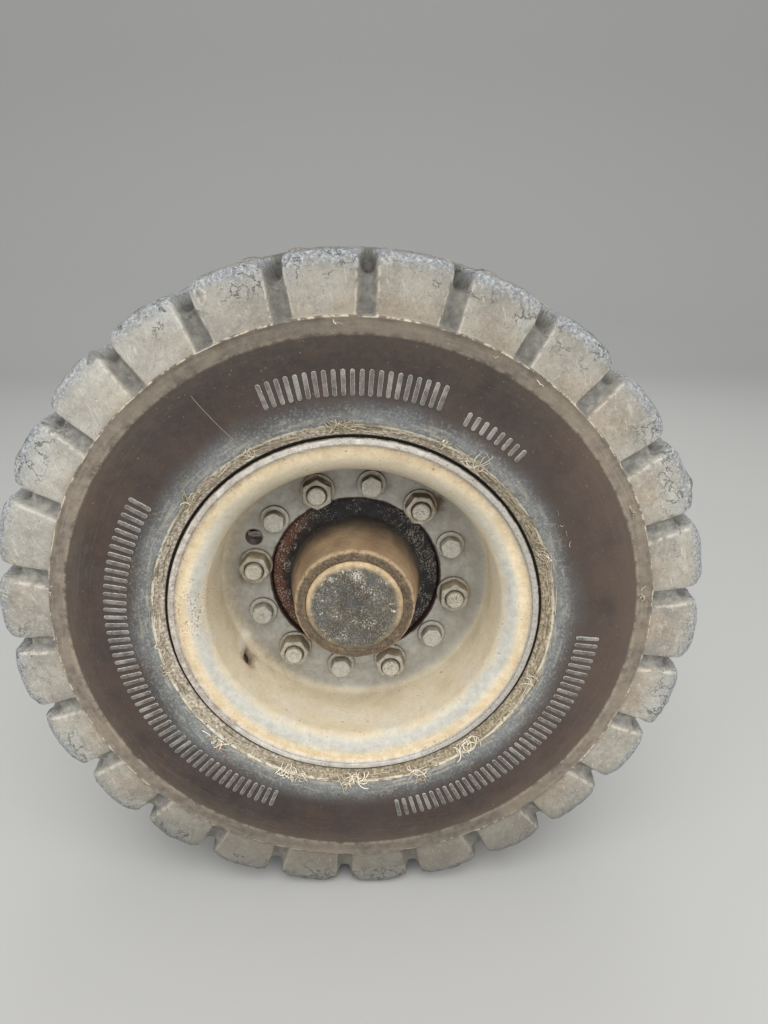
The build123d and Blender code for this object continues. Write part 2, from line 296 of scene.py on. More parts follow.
# Tyre: one closed grid. Rows follow the section, and columns crowd round each groove's walls.
tyreSizes = {
    "diameter": 560.0,
    "width": 162.5,
    "treadHalf": 68.0,
    "lugs": 26,
    "groovePhase": 4.1,
    "grooveWidth": 14.5,
    "grooveTipWidth": 9.0,
    "sideDepth": 8.0,
    "treadDepth": 18.0,
    "centreRib": 30.0,
    "wearLine": 236.0,
    "seat": 126.9,
    "shoulderRound": 11.0,
    "outboardStep": 2.6,
    "inboardStep": 5.4,
    "floorCorner": 6.0,
    # Profiles as (radius, out). The band's and the flash's are from the wear line and the full half width
    "bead": [(134.9, 63.2), (140.3, 63.2), (144.0, 64.2), (147.0, 66.4), (149.4, 68.2), (151.5, 69.7)],
    "swellFoot": (159.8, 75.9),
    "swellRise": 24.2,
    "wallSunk": 0.8,
    "band": [(-11.9, -0.6), (-10.6, -0.15), (-9.4, 0.0), (-1.4, 0.0)],
    "flash": [(-0.5, 0.35), (0.3, 0.25), (0.9, -1.5), (1.9, -1.7), (3.1, -1.9)],
    "ribEdge": (3.0, 1.8, 1.0, 0.3, -0.6, -3.0),
    # Radii between which the columns begin to crowd round the groove's walls
    "crowding": (214, 232),
    # Wear of a lug's edges, as (none inside this radius, full outside this one, depth), how far out it
    # begins, how far in from the edge it reaches, and its share of the depth down and inboard
    "edgeWear": [(238, 246, 0.5), (262, 277, 2.4)],
    "wearStart": (14, 24),
    "wearReach": 4.0,
    "wearShares": (0.8, 0.45),
    "lugLength": 42,
    # The line of moulding flash: its half width, height and raggedness, and how it strays in radius
    "flashLine": {"half": 0.75, "height": 0.55, "ragged": [(0.9, 9), (0.6, 3.5)], "stray": (0.8, 14)},
}
# Unevenness of the rubber, as (none inside this radius, full outside this one, height, size of its lumps)
tyreRelief = [(151, 162, 0.12, 16), (151, 162, 0.07, 6), (236, 242, 0.28, 24), (236, 242, 0.12, 7),
              (262, 276, 0.55, 9), (262, 276, 0.4, 4.2)]


# Rows of one side from the middle of the seat to the middle of the tread, as (radius, out) of the
# lug's surface, with how deep the groove lies below it and which way
def tyreRows(step):
    s = tyreSizes
    top, half, line = s["diameter"] / 2, s["width"] / 2, s["wearLine"]
    foot, swell, wall = s["swellFoot"], s["swellRise"], half - s["wallSunk"]
    rows = [(s["seat"], 0), (s["seat"], 30), (s["seat"], 55.2), *s["bead"]]

    # Adds points from the last row to a new one, a step apart at most
    def run(radius, out, spacing=step):
        fromRadius, fromOut = rows[-1]
        count = max(1, round(math.hypot(radius - fromRadius, out - fromOut) / spacing))
        for index in range(1, count + 1):
            share = index / count
            rows.append((fromRadius + (radius - fromRadius) * share, fromOut + (out - fromOut) * share))

    run(158.6, 74.6)
    run(*foot)
    for share in np.linspace(0, 1, max(3, round(24 / step)))[1:]:  # the bead's swell up to the sidewall
        rows.append((foot[0] + swell * share, foot[1] + (wall - foot[1]) * (1 - (1 - share) ** 2)))
    run(line - 13.0, wall, step * 1.5)
    for rise, proud in s["band"]:
        run(line + rise, half + proud)
    rows += [(line + rise, half + proud) for rise, proud in s["flash"]]
    # The lug's side leans in to the shoulder, which is worn round
    run(top - s["shoulderRound"], s["treadHalf"] + 9.0)
    centre = (top - s["shoulderRound"], s["treadHalf"] - 1.0)
    for angle in np.linspace(8, 90, max(4, round(17 / step)))[:-1]:
        turn = math.radians(angle)
        rows.append((centre[0] + s["shoulderRound"] * math.sin(turn), centre[1] + 10.0 * math.cos(turn)))
    rows.append((top, s["treadHalf"] - 1.5))
    run(top, s["centreRib"] / 2 + 4.5, step * 1.6)
    rows += [(top, s["centreRib"] / 2 + out) for out in s["ribEdge"]]
    return np.array(rows + [(top, 6.0), (top, 0.0)])


# Half width of the groove at each row, and the row of its floor, as (radius, out): up the lug's side,
# round a small corner and in to the centre rib
def grooveFloor(rows):
    s = tyreSizes
    radius, out = rows[:, 0], rows[:, 1]
    tip, foot = s["centreRib"] / 2, s["wearLine"] + 1.5
    sideOut = s["width"] / 2 - 1.5 - s["sideDepth"]
    floorRadius, corner = s["diameter"] / 2 - s["treadDepth"], s["floorCorner"]
    shoulderStart = s["diameter"] / 2 - s["shoulderRound"]
    narrow = np.clip((out - tip) / (s["treadHalf"] - tip), 0, 1)
    halfWidth = (s["grooveTipWidth"] + (s["grooveWidth"] - s["grooveTipWidth"]) * narrow) / 2
    # Along the side the floor's radius is pressed together, so that it ends at the tread floor's corner
    climb = np.clip((radius - foot) / (shoulderStart - foot), 0, 1)
    newRadius = np.where(radius > foot, foot + climb * (floorRadius - corner - foot), radius)
    newOut = out + (sideOut - out) * smoothStep(radius, s["wearLine"] + 0.2, s["wearLine"] + 2.4)
    onCorner = (radius > shoulderStart) & (out > s["treadHalf"] - 2.4)
    turn = np.clip(np.arctan2(radius - shoulderStart, (out - s["treadHalf"] + 1) * 1.1), 0, math.pi / 2)
    newRadius = np.where(onCorner, floorRadius - corner + corner * np.sin(turn), newRadius)
    newOut = np.where(onCorner, sideOut - corner + corner * np.cos(turn), newOut)
    onTread = (radius > shoulderStart) & ~onCorner
    depth = s["treadDepth"] * smoothStep(out, tip + 0.1, tip + 2.0)
    newRadius = np.where(onTread, radius - depth, newRadius)
    newOut = np.where(onTread, out, newOut)
    return halfWidth, newRadius, newOut


# Columns of one groove, as (mm from its middle where it is widest, share of its depth)
wallColumns = [(0, 1), (2.2, 0.985), (3.8, 0.93), (5.1, 0.8), (6.1, 0.6), (6.9, 0.34), (7.5, 0.13),
               (8.4, 0.035), (10.2, 0)]
lugColumns = 11


def tyreColumns():
    both = [(-place, depth) for place, depth in wallColumns[:0:-1]] + wallColumns
    return np.array(both, float).T


def tyreHalf(rows, phase):
    s = tyreSizes
    offsets, depths = tyreColumns()
    clustered, pitch = len(offsets), 2 * math.pi / s["lugs"]
    perPitch = clustered + lugColumns
    radius, out = rows[:, 0], rows[:, 1]
    halfWidth, floorRadius, floorOut = grooveFloor(rows)
    # Angles within a pitch, for every row: crowded at the walls from the wear line out
    crowd = offsets[None, :] * (halfWidth / (s["grooveWidth"] / 2))[:, None] / radius[:, None]
    first, last = crowd[:, :1], crowd[:, -1:]
    between = np.arange(1, lugColumns + 1)[None, :] / (lugColumns + 1)
    inside = last + (first + pitch - last) * between
    crowded = np.concatenate([crowd, inside], 1)
    even = (np.arange(perPitch)[None, :] - clustered // 2) * pitch / perPitch
    share = smoothStep(radius, *s["crowding"]) * smoothStep(out, 0, s["centreRib"] / 2 + 1)
    local = even + (crowded - even) * share[:, None]
    angles = (local[:, None, :] + (np.arange(s["lugs"]) * pitch)[None, :, None]).reshape(len(rows), -1)
    depth = np.tile(np.concatenate([depths, np.zeros(lugColumns)]), s["lugs"])[None, :]
    # The lug's edges are worn round, more so on the tread
    edge = np.minimum(between[0], 1 - between[0]) * s["lugLength"]
    edge = np.concatenate([np.zeros(clustered), edge])
    wear = np.exp(-np.tile(edge, s["lugs"]) / s["wearReach"])[None, :] * (1 - depth)
    wearDepth = sum(deep * smoothStep(radius, none, full) for none, full, deep in s["edgeWear"])
    wearDepth = wearDepth * smoothStep(out, *s["wearStart"])
    down, inboard = s["wearShares"]
    drop = depth * (radius > s["wearLine"])[:, None]
    newRadius = radius[:, None] + (floorRadius - radius)[:, None] * drop - (wearDepth * down)[:, None] * wear
    newOut = out[:, None] + (floorOut - out)[:, None] * drop - (wearDepth * inboard)[:, None] * wear
    return newRadius, newOut, angles + phase, drop


def makeTyre():
    s = tyreSizes
    pitch, phase = 2 * math.pi / s["lugs"], math.radians(s["groovePhase"])
    outer, inner = tyreRows(s["outboardStep"]), tyreRows(s["inboardStep"])
    radius, out, angles, drop = tyreHalf(outer, phase)
    backRadius, backOut, backAngles, backDrop = tyreHalf(inner, phase + pitch / 2)
    # The inboard grooves lie half a pitch on: its columns are shifted so that the two sides meet
    shift = (len(tyreColumns()[0]) + lugColumns) // 2
    backAngles = np.roll(backAngles, shift, 1)
    backAngles[:, :shift] -= 2 * math.pi
    backRadius, backOut, backDrop = (np.roll(part, shift, 1) for part in (backRadius, backOut, backDrop))
    radius, out, angles, drop = (np.concatenate([front, back[-2:0:-1]]) for front, back in (
        (radius, backRadius), (out, -backOut), (angles, backAngles), (drop, backDrop)))
    flat = turned(radius, out, angles)
    # A ragged line of moulding flash stands up at the wear line
    line = s["flashLine"]
    ridge = np.exp(-((radius - s["wearLine"] + 0.1) / line["half"]) ** 2) * (np.abs(out) > 60) * (1 - drop)
    wander = turned(s["wearLine"], 80.0, angles)
    flash = bumpy(wander, line["ragged"], 3, line["height"])
    out = out + np.sign(out) * ridge * np.clip(flash, -0.2, 1.5)
    radius = radius + ridge * line["stray"][0] * lumps(wander, line["stray"][1], 5)
    points = turned(radius, out, angles)
    normals = gridNormals(points)
    rough = np.zeros(radius.shape)
    for seed, (none, full, height, grain) in enumerate(tyreRelief, start=11):
        rough += smoothStep(radius, none, full) * height * lumps(flat, grain, seed)
    # Cuts and chips in the lugs, as (degrees up from +X, radius, out, size, depth)
    for degrees, atRadius, atOut, size, depth in tyreChips:
        x, z = polar(atRadius, degrees)
        centre = np.array([x, -wheelOut - atOut, z])
        distance = np.linalg.norm(flat - centre, axis=-1) + 2.4 * lumps(flat, 4.5, 17)
        rough -= depth * (1 - smoothStep(distance, size * 0.45, size))
    points = points + normals * rough[..., None]
    tyre = gridMesh("solidTyre", rings=[points])
    setAttribute(tyre, "grooveDepth", drop)
    setAttribute(tyre, "wornAway", np.clip(-rough, 0, 3))
    return tyre


tyreChips = [(112, 268, 73, 7, 2.2), (84, 270, 72, 6, 1.6), (131, 271, 70, 8, 2.0),
             (0, 269, 74, 6, 1.5), (97.5, 276, 66, 7, 2.4), (52, 274, 68, 8, 1.8),
             (24, 276, 66, 9, 2.0), (-22, 272, 70, 8, 1.6), (151, 275, 66, 9, 2.2),
             (170, 274, 68, 8, 1.8), (-160, 276, 64, 7, 1.6), (-128, 276, 66, 9, 2.0),
             (-101, 274, 68, 7, 1.5), (-64, 275, 66, 8, 1.9), (70, 279, 55, 9, 1.8),
             (140, 279, 52, 8, 1.6), (12, 279, 50, 10, 1.8), (-75, 279, 48, 9, 1.6),
             (-142, 279, 56, 8, 1.8), (104, 279, 50, 10, 2.0)]


# Gates that several layers share, in mm from the wheel's axis or in shares of the groove's depth
onBead = ("radius", 161, 159.6)
onBand = ("radius", 223.0, 226.0)
onLug = ("radius", 237, 240)
onLugSoft = ("radius", 237, 242)
onTread = ("radius", 277.6, 279.6)
inGroove = ("grooveDepth", 0.3, 0.85)

# Solid industrial rubber, pressed in a steel mould and driven until its shoulders tore: matt dark
# brown on the sidewall, dusted beige on the lugs, granular grey where stone has ground it
rubberRecipe = {
    "roughness": (0.86,),
    "patterns": {
        "wide": (30, 3, 0.5),
        "blotch": (52, 4, 0.55),
        "cool": (44, 3, 0.5),
        "fine": (6, 4, 0.6),
        "grit": (2.2, 4, 0.65),
        "speck": (1.25, 2, 0.5),
        "fleck": (2.0, 2, 0.5),
        "arcs": (2.6, 4, 0.6, "arcs"),
        "scratch": (1.3, 2, 0.5, (1.0, 1.0, 0.09, 17)),
        "scuff": (1.6, 2, 0.5, (1.0, 1.0, 0.16, -38)),
        "crack": (15, 5, 0.62),
    },
    "layers": [
        (1, ("wide", "#2c2521", "#362c27", "#42372f")),  # sidewall
        (0.5, "#45342a", ("blotch", 0.4, 0.66)),
        (0.16, "#3b3a3d", ("cool", 0.42, 0.66)),
        (0.22, "#665a4e", ("arcs", 0.5, 0.66), ("radius", 190, 220)),
        (0.35, "#63574b", ("radius", 205, 226, "fine", 16)),
        # Painted shade: the sidewall darker towards its top
        (0.55, "#29231f", ("z", 100, 200), ("radius", 184, 200)),
        (0.25, "#4b3a2f", ("fine", 0.44, 0.6)),
        (0.45, "#57493f", ("x", 90, 210), ("blotch", 0.2, 0.52)),
        # Rubbed grey by the bead
        (0.75, ("cool", "#4b4f51", "#5e6365", "#73797b"), ("radius", 186, 161, "wide", 24)),
        (0.6, ("fine", "#5b5d5d", "#787a78", "#94938d"), ("radius", 174, 160, "fine", 14)),
        (0.4, "#a19c90", ("grit", 0.5, 0.64), ("radius", 182, 163, "fine", 16)),
        (0.4, "#b4ab98", ("arcs", 0.52, 0.64), ("radius", 176, 162, "wide", 10)),
        (0.2, "#b9b4a8", ("scratch", 0.6, 0.66), ("fine", 0.46, 0.6), ("radius", 182, 164, "wide", 14)),
        (0.2, "#b9b4a8", ("scuff", 0.6, 0.66), ("fine", 0.54, 0.4), ("radius", 182, 164, "wide", 14)),
        (0.3, "#c0b8a6", ("speck", 0.6, 0.68), ("radius", 182, 163, "fine", 12)),
        (0.45, "#40362f", ("x", 40, 120), ("radius", 168, 180, "fine", 10), ("radius", 196, 186)),
        (1, ("grit", "#665d50", "#938878", "#b5aa98", "#d6cdbd"), ("radius", 160.3, 159.4)),  # bead
        (0.5, ("grit", "#54493a", "#80714f", "#a8966d"), onBead, ("x", -110, 20), ("z", 150, 60)),
        # Painted shade: the bead's ring darker towards the bottom
        (0.3, ("grit", "#453d31", "#665b47", "#87795f"), onBead, ("z", -60, -140)),
        # Painted highlight: a pale line along the lit edge of the bead's step
        (0.8, "#cfc7b2", ("radius", 158.4, 159.1), ("radius", 160.6, 159.9), ("fine", 0.4, 0.5)),
        # Painted shade: near black in the gap between the rim's lip and the bead
        (1, "#0c0b0b", ("radius", 151.6, 150.8)),
        (1, ("fine", "#5f564c", "#6d6358", "#7d7365"), ("radius", 222.4, 226.4, "fine", 3)),  # wear band
        (0.4, "#8a7e6c", ("blotch", 0.46, 0.6), onBand),
        (0.3, "#8d8373", ("arcs", 0.5, 0.6), onBand),
        # Painted highlight: a pale line along the lit step at the band's inner edge
        (0.4, "#998e7a", ("radius", 223.4, 224.4), ("radius", 226.4, 225.2), ("fine", 0.4, 0.56)),
        # Painted shade: the wear band darker towards the top
        (0.4, "#4b443c", ("z", 120, 225), ("radius", 222.4, 225.0)),
        (1, ("wide", "#827d74", "#928d82", "#a09b8f"), ("radius", 236.6, 237.4)),  # lug's side
        (0.45, "#96826a", ("radius", 268, 242, "fine", 22), ("radius", 236, 238), ("blotch", 0.44, 0.6)),
        (0.4, "#979c9d", ("radius", 248, 270, "wide", 20), ("cool", 0.44, 0.58)),
        (0.45, "#c7c2b5", ("scratch", 0.62, 0.66), ("fine", 0.42, 0.56), ("radius", 238, 250)),
        (0.4, "#625d53", ("scuff", 0.63, 0.67), ("fine", 0.58, 0.44), onLug),
        (0.3, "#6f695e", ("fine", 0.46, 0.34), onLug),
        (0.25, "#b5afa1", ("fine", 0.54, 0.66), onLug),
        (0.14, "#c4beb0", ("grit", 0.52, 0.62), onLugSoft),
        (0.3, "#5f594f", ("speck", 0.6, 0.68), onLugSoft),
        # Painted shade: the lug sides darker at the top left
        (0.3, "#6c675d", ("z", 90, 240), ("x", -150, -40), ("radius", 237, 238)),
        # Painted light: the lug sides lighter on the left
        (0.25, "#adaea8", ("x", -50, -150), ("z", 20, 110), onLugSoft),
        # Moulding flash at the wear line, then the groove's floor
        (0.75, "#c3b9a2", ("radius", 235.2, 235.8), ("radius", 237.1, 236.6), ("fine", 0.46, 0.58)),
        (1, ("fine", "#6a6862", "#807e77", "#979389"), inGroove),
        # Painted shade: the deepest groove floor darker towards the tread's middle
        (0.4, "#4a4b4b", ("out", 80, 58, "fine", 14), ("grooveDepth", 0.5, 0.98)),
        # Painted shade: the grooves darker at the top
        (0.35, "#47433c", ("z", 120, 240), inGroove),
        (0.55, "#c2bcae", ("grooveDepth", 0.01, 0.08), ("grooveDepth", 0.5, 0.16), ("fine", 0.4, 0.52)),
        (0.9, ("grit", "#5b5d5f", "#787b7d", "#919496", "#b3b4b2"), ("radius", 266, 277, "fine", 16),
         ("grooveDepth", 0.7, 0.2)),  # ground shoulder
        (0.7, "#33302c", ("crack", 0.488, 0.5), ("crack", 0.512, 0.5), ("radius", 250, 266, "fine", 20),
         ("cool", 0.47, 0.54), ("grooveDepth", 0.5, 0.1)),  # cracks in from the shoulder
        (0.85, ("fine", "#4b4945", "#5f5c57", "#77736b"), ("radius", 277.6, 279.6, "fine", 2.5)),  # tread
        (0.4, "#8d887d", ("blotch", 0.46, 0.62), onTread),
        (0.35, "#34322f", ("scratch", 0.6, 0.68), onTread),
        (0.45, "#3a352e", ("speck", 0.62, 0.72)),
        (0.3, "#b3a994", ("fleck", 0.68, 0.76)),
        (0.45, "#b9b1a0", ("wornAway", 0.35, 0.6), ("wornAway", 1.2, 0.8), ("grit", 0.44, 0.56)),
        (0.7, "#5f5d57", ("wornAway", 0.8, 2.0)),
        # Painted shade: the lugs and the wear band darker towards the bottom
        (0.6, "#57534a", ("z", -120, -245), ("radius", 236, 238)),
        (0.35, "#4a443c", ("z", -120, -220), ("radius", 223, 225), ("radius", 238, 236)),
        # Dust on the rubber behind the rim's valve slot
        (1, ("fine", "#4d402f", "#6b5b45", "#857357"), ((-104, -73), 14, 10), ("radius", 133, 129)),
    ],
    "grain": [("grit", 0.05), ("speck", 0.05)],
    "relief": [
        ("fine", 0.3),
        ("grit", 0.2),
        ("speck", 0.12),
        ("grit", 0.9, ("radius", 264, 275), ("radius", 280.5, 277.5)),
        ("crack", -1.6, ("crack", 0.485, 0.5), ("crack", 0.515, 0.5), ("radius", 250, 266),
         ("cool", 0.47, 0.54)),
    ],
}


tyre = makeTyre()
rubber = makeFinish("wornSolidRubber", rubberRecipe)
dress(tyre, rubber, "wheel", "tyre_rubber", "tyre")
print("tyre", len(tyre.data.polygons), "faces")

# Rim: each pressed half is one turned sheet, bolted disc to disc
rimSizes = {
    "metal": 5.4,
    "discBore": 75.4,
    "jointInboard": 9.0,
    "wellRadius": 124.6,
    "seatRadius": 126.6,
    "flangeOut": 63.5,
    "lipRadius": 148.8,
    "lipOut": 72.5,
    "discFillet": 8.0,
    "flangeRoot": 8.0,
    "flangeCurl": 8.5,
    "lipRound": 1.6,
    "columns": 360,
    # The sheet is knocked out of round from the first radius on, in dents of (depth, size)
    "knocked": (128, 148),
    "dents": [(0.5, 60), (0.18, 18)],
    "studRing": (89.5, 110.5),
    "boltRing": (90.2, 80.5),
    "studHole": 8.5,
    "boltHole": 5.5,
    "drainHole": {"place": (97.6, 155.6), "radius": 7.0},
    "valveSlot": {"degrees": -145.0, "out": 16.6, "length": 20.0, "width": 11.0},
}


# A rounded path through corners: each is (x, y, radius), and arcs have about 1.6 mm between points
def roundedPath(corners, spacing=1.6, run=6.0):
    path = [corners[0][:2]]
    for before, corner, after in zip(corners, corners[1:], corners[2:]):
        here = np.array(corner[:2])
        back = np.array(before[:2]) - here
        ahead = np.array(after[:2]) - here
        back, ahead = back / np.linalg.norm(back), ahead / np.linalg.norm(ahead)
        half = math.acos(np.clip(back @ ahead, -1, 1)) / 2
        reach = corner[2] / math.tan(half)
        centre = here + (back + ahead) / np.linalg.norm(back + ahead) * corner[2] / math.sin(half)
        first, last = here + back * reach - centre, here + ahead * reach - centre
        swing = math.pi - 2 * half
        for share in np.linspace(0, 1, max(3, round(corner[2] * swing / spacing)) + 1):
            blend = math.sin((1 - share) * swing) * first + math.sin(share * swing) * last
            path.append(tuple(centre + blend / math.sin(swing)))
    path.append(corners[-1][:2])
    filled = [path[0]]
    for start, end in zip(path, path[1:]):
        count = max(1, round(math.dist(start, end) / run))
        for index in range(1, count + 1):
            share = index / count
            filled.append(tuple(np.array(start) + (np.array(end) - np.array(start)) * share))
    return np.array(filled)


# The closed section of a half, as (radius, out): tyre side first, then the side that shows. The joint
# is where its disc is bolted, out from the mid plane on the half's own side.
def rimSection(joint):
    s = rimSizes
    metal, low = s["metal"], s["wellRadius"]
    faceOut, shelfOut = joint + metal, s["flangeOut"] + metal
    corners = [
        (s["discBore"] + 1.0, joint, 0),
        (low, joint, s["discFillet"] + metal),
        (s["seatRadius"], s["flangeOut"], s["flangeRoot"]),
        (s["lipRadius"], s["flangeOut"], s["flangeCurl"] - s["lipRound"]),
        (s["lipRadius"], s["lipOut"], s["lipRound"]),
        (s["lipRadius"] - metal, s["lipOut"], s["lipRound"]),
        (s["lipRadius"] - metal, shelfOut, s["flangeCurl"] - metal),
        (s["seatRadius"] - metal, shelfOut, s["flangeRoot"] + metal),
        (low - metal, faceOut, s["discFillet"]),
        (s["discBore"], faceOut, 0.8),
        (s["discBore"], joint, 0.8),
        (s["discBore"] + 1.0, joint, 0),
    ]
    return roundedPath(corners)[:-1]


# A solid to cut with, in mm: points of one end face and of the other
def cutter(name, first, last):
    piece = gridMesh(name, plugs=[np.stack([first, last])])
    piece.data.polygons.foreach_set("use_smooth", np.zeros(len(piece.data.polygons), bool))
    return piece


def cutHoles(piece, cutters):
    for tool in cutters:
        cut = piece.modifiers.new("cut", "BOOLEAN")
        cut.operation, cut.solver, cut.object = "DIFFERENCE", "EXACT", tool
    applyModifiers(piece)
    for tool in cutters:
        bpy.data.objects.remove(tool)


# Places of a ring of six fasteners: (x, z) in mm
def ringPlaces(radius, startDegrees):
    return [polar(radius, startDegrees - 60 * index) for index in range(6)]


studPlaces = ringPlaces(*rimSizes["studRing"])
boltPlaces = ringPlaces(*rimSizes["boltRing"])


def roundCutter(x, z, radius, columns=40):
    turns = roundTurns(columns)
    circle = np.stack([x + radius * np.cos(turns), 0 * turns, z + radius * np.sin(turns)], -1)
    return cutter("drill", circle + (0, -160, 0), circle + (0, -100, 0))


def slotCutter(degrees, out, length, width):
    turns = roundTurns(48)
    x = width / 2 * np.cos(turns) + np.sign(np.round(np.cos(turns), 6)) * (length - width) / 2
    y = width / 2 * np.sin(turns)
    across, up = polar(1, degrees)
    ends = []
    for reach in (100, 140):
        centre = np.array([across, 0, up]) * reach + (0, -wheelOut - out, 0)
        ends.append(centre + x[:, None] * np.array([0, 1, 0]) + y[:, None] * np.array([-up, 0, across]))
    return cutter("slotTool", *ends)


def makeRim(name, side):
    s = rimSizes
    section = rimSection(-s["jointInboard"] * side)
    angles = roundTurns(s["columns"])[None, :]
    radius, out = section[:, :1], section[:, 1:]
    points = turned(radius, out * side, angles)
    knock = smoothStep(radius, *s["knocked"])
    shake = sum(deep * lumps(points, grain, seed) * knock
                for seed, (deep, grain) in enumerate(s["dents"], start=21))
    points = turned(radius + 0.4 * shake, (out + shake) * side, angles)
    rim = gridMesh(name, rings=[points])
    tools = [roundCutter(x, z, s["studHole"]) for x, z in studPlaces]
    tools += [roundCutter(x, z, s["boltHole"], 28) for x, z in boltPlaces]
    tools.append(roundCutter(*polar(*s["drainHole"]["place"]), s["drainHole"]["radius"], 56))
    if side > 0:
        tools.append(slotCutter(**s["valveSlot"]))
    cutHoles(rim, tools)
    return rim


onLip = ("out", 69.0, 71.0)

# Rolled steel sheet under many coats of off-white paint: chalky, dusted cream, rubbed to bluish
# white on the bends with a painted bluish reflection there, and chipped to rust at its edges
rimRecipe = {
    "roughness": (0.5, "fine", 0.3),
    "cornerReach": 7.0,
    "patterns": {
        "wide": (34, 4, 0.6),
        "fine": (7, 4, 0.6),
        "stain": (17, 4, 0.6),
        "grit": (2.4, 3, 0.6),
        "speck": (1.4, 2, 0.5),
        "nick": (3.6, 2, 0.5),
        "arcs": (3.4, 4, 0.6, "arcs"),
    },
    "layers": [
        (1, ("fine", "#9b9890", "#a7a59c", "#b3b1a8")),  # disc
        (0.4, "#8a867b", ("radius", 97, 110)),
        (0.3, "#83796a", ("stain", 0.54, 0.7)),
        (0.35, "#b9b8b2", ("wide", 0.52, 0.66)),
        (0.3, "#857a69", ("arcs", 0.56, 0.68), ("radius", 116, 100)),
        (1, ("wide", "#dbc59d", "#e7d3ab", "#eddcbe"), ("radius", 113, 123, "wide", 6)),  # dusted wall
        (0.25, "#c8b48e", ("arcs", 0.5, 0.64), ("radius", 116, 124)),
        # Painted shade: the upper part of the wall darker
        (0.75, "#8f8674", ("z", 40, 100), ("radius", 116, 122)),
        (0.45, ("fine", "#978870", "#ac9c80", "#bfaf92"), ("radius", 107, 113, "wide", 8),
         ("radius", 121, 116, "wide", 6), ("x", -25, -85)),  # painted shade over the lit bend between disc and wall, brown on the left
        # Painted shade over the lit bend between disc and wall, grey on the right
        (0.4, "#9c9a90", ("radius", 107, 113), ("radius", 120, 116, "wide", 6), ("x", 20, 80)),
        (0.8, ("fine", "#929797", "#a0a4a3", "#afb3b1"), ("radius", 116, 127, "wide", 9),
         ("radius", 141, 129, "wide", 9), ("z", 140, 30)),  # rubbed bend, with a painted bluish reflection
        (0.85, ("fine", "#b8a482", "#c6b392", "#d2c2a3"), ("radius", 130, 140, "wide", 9)),  # gutter
        (0.25, "#b4936a", ("stain", 0.48, 0.66), ("radius", 134, 142), ("radius", 148, 146)),
        (1, ("fine", "#a09a90", "#b5afa5", "#cac6bb"), ("out", 68.8, 71.2, "fine", 2.0)),  # lip
        (0.4, "#a79e92", ("arcs", 0.5, 0.62), ("out", 69.4, 71.0)),
        (0.6, "#8a7261", ("x", -50, -140), onLip, ("grit", 0.44, 0.58)),
        (0.55, "#85837d", ("x", 30, 120), onLip, ("fine", 0.36, 0.56)),
        (0.4, "#6f675b", ("x", 30, 120), onLip, ("grit", 0.5, 0.6)),
        (0.6, "#6a5543", ("speck", 0.57, 0.64), ("stain", 0.42, 0.56), ("radius", 138, 144)),
        (0.8, "#4c3c2e", ("radius", 147.6, 148.6), ("fine", 0.38, 0.52)),
        (0.5, "#786650", ("speck", 0.66, 0.72)),
        (0.6, "#6e5640", ("nick", 0.7, 0.73), ("radius", 104, 112)),
        (0.75, "#7f6245", ("speck", 0.55, 0.6), ("fine", 0.4, 0.56), ((-124, 4), 36, 8), ("out", 12, 22)),
        (0.6, "#d8c39a", ("speck", 0.45, 0.4), ("fine", 0.4, 0.56), ((-124, 4), 36, 8), ("out", 12, 22)),
        (0.85, "#583824", ((68, 70), 13, 5, "fine", 15)),
        (0.6, "#6d4b34", ((-97, 3), 12, 4, "fine", 14)),
        # Painted shade: dark brown in the drain hole and round its edge
        (0.9, "#3a2317", ((-88.9, 40.3), 8.4, 7.2)),
        (0.6, "#7d6248", ((-98, -68.5), 12, 7, "fine", 10), ("out", 31, 25), ("out", 3, 8)),
        (0.55, "#ddd8cb", ((-103, -57), 8, 2, "fine", 12), ("out", 26, 10)),
        # Dirt and painted shade in the corners, darker where ambient occlusion is high
        (0.55, "#5c5040", ("open", 0.9, 0.4), ("radius", 148, 122)),
        (1, "#3a2720", ("radius", 77.8, 76.4, "fine", 2.4)),
    ],
    "grain": [("grit", 0.06)],
    "relief": [("wide", 0.5), ("fine", 0.22), ("speck", 0.06)],
}


rimPaint = makeFinish("chalkyRimPaint", rimRecipe)
for name, node, side in (("rimOuterHalf", "rim_outer", 1), ("rimInnerHalf", "rim_inner", -1)):
    half = makeRim(name, side)
    dress(half, rimPaint, "wheel", "rim_paint", node)
    print(name, len(half.data.polygons), "faces")

# Fasteners: six studs with big nuts hold the wheel, and six smaller bolts join the rim's halves
fastenerSizes = {
    "discOut": -3.6,
    "backOut": -14.4,
    "hubBackOut": -26.4,
    "studRadius": 8.0,
    "studEnd": 17.4,
    "studHead": 7.0,
    "threadPitch": 2.0,
    "boltPitch": 1.5,
    "nutFlats": 24.0,
    "nutHeight": 13.0,
    "nutTurns": (30.0, 56.0, 27.0, 46.0, 2.0, 49.0),
    "washerRadius": 14.75,
    "washerThickness": 3.0,
    "boltRadius": 5.0,
    "boltFlats": 17.0,
    "boltHead": 9.0,
    "boltWasher": 12.5,
    "boltNut": 8.5,
    "boltEnd": -26.4,
    "boltTurn": 11,  # how much further round each bolt stops than the one before
}
hexSide = np.array([-30, -28.6, -26, -22, -15, -7, 0, 7, 15, 22, 26, 28.6])
hexAngles = np.radians(np.concatenate([60 * side + hexSide for side in range(6)]))
roundAngles = roundTurns(64)


# A grid round an axis beside the wheel's own: rows are (radius, out), and either may differ by column
def standing(x, z, rows, angles=roundAngles):
    grid = []
    for radius, out in rows:
        points = [x + radius * np.cos(angles), -wheelOut - out, z + radius * np.sin(angles)]
        grid.append(np.stack(np.broadcast_arrays(*points), -1))
    return np.array(grid)


# Moves every point by a smooth random amount, in mm: castings and old paint have no true faces
def roughened(points, grain, amount, seed):
    return points + amount * np.stack([lumps(points, grain, seed + axis) for axis in range(3)], -1)


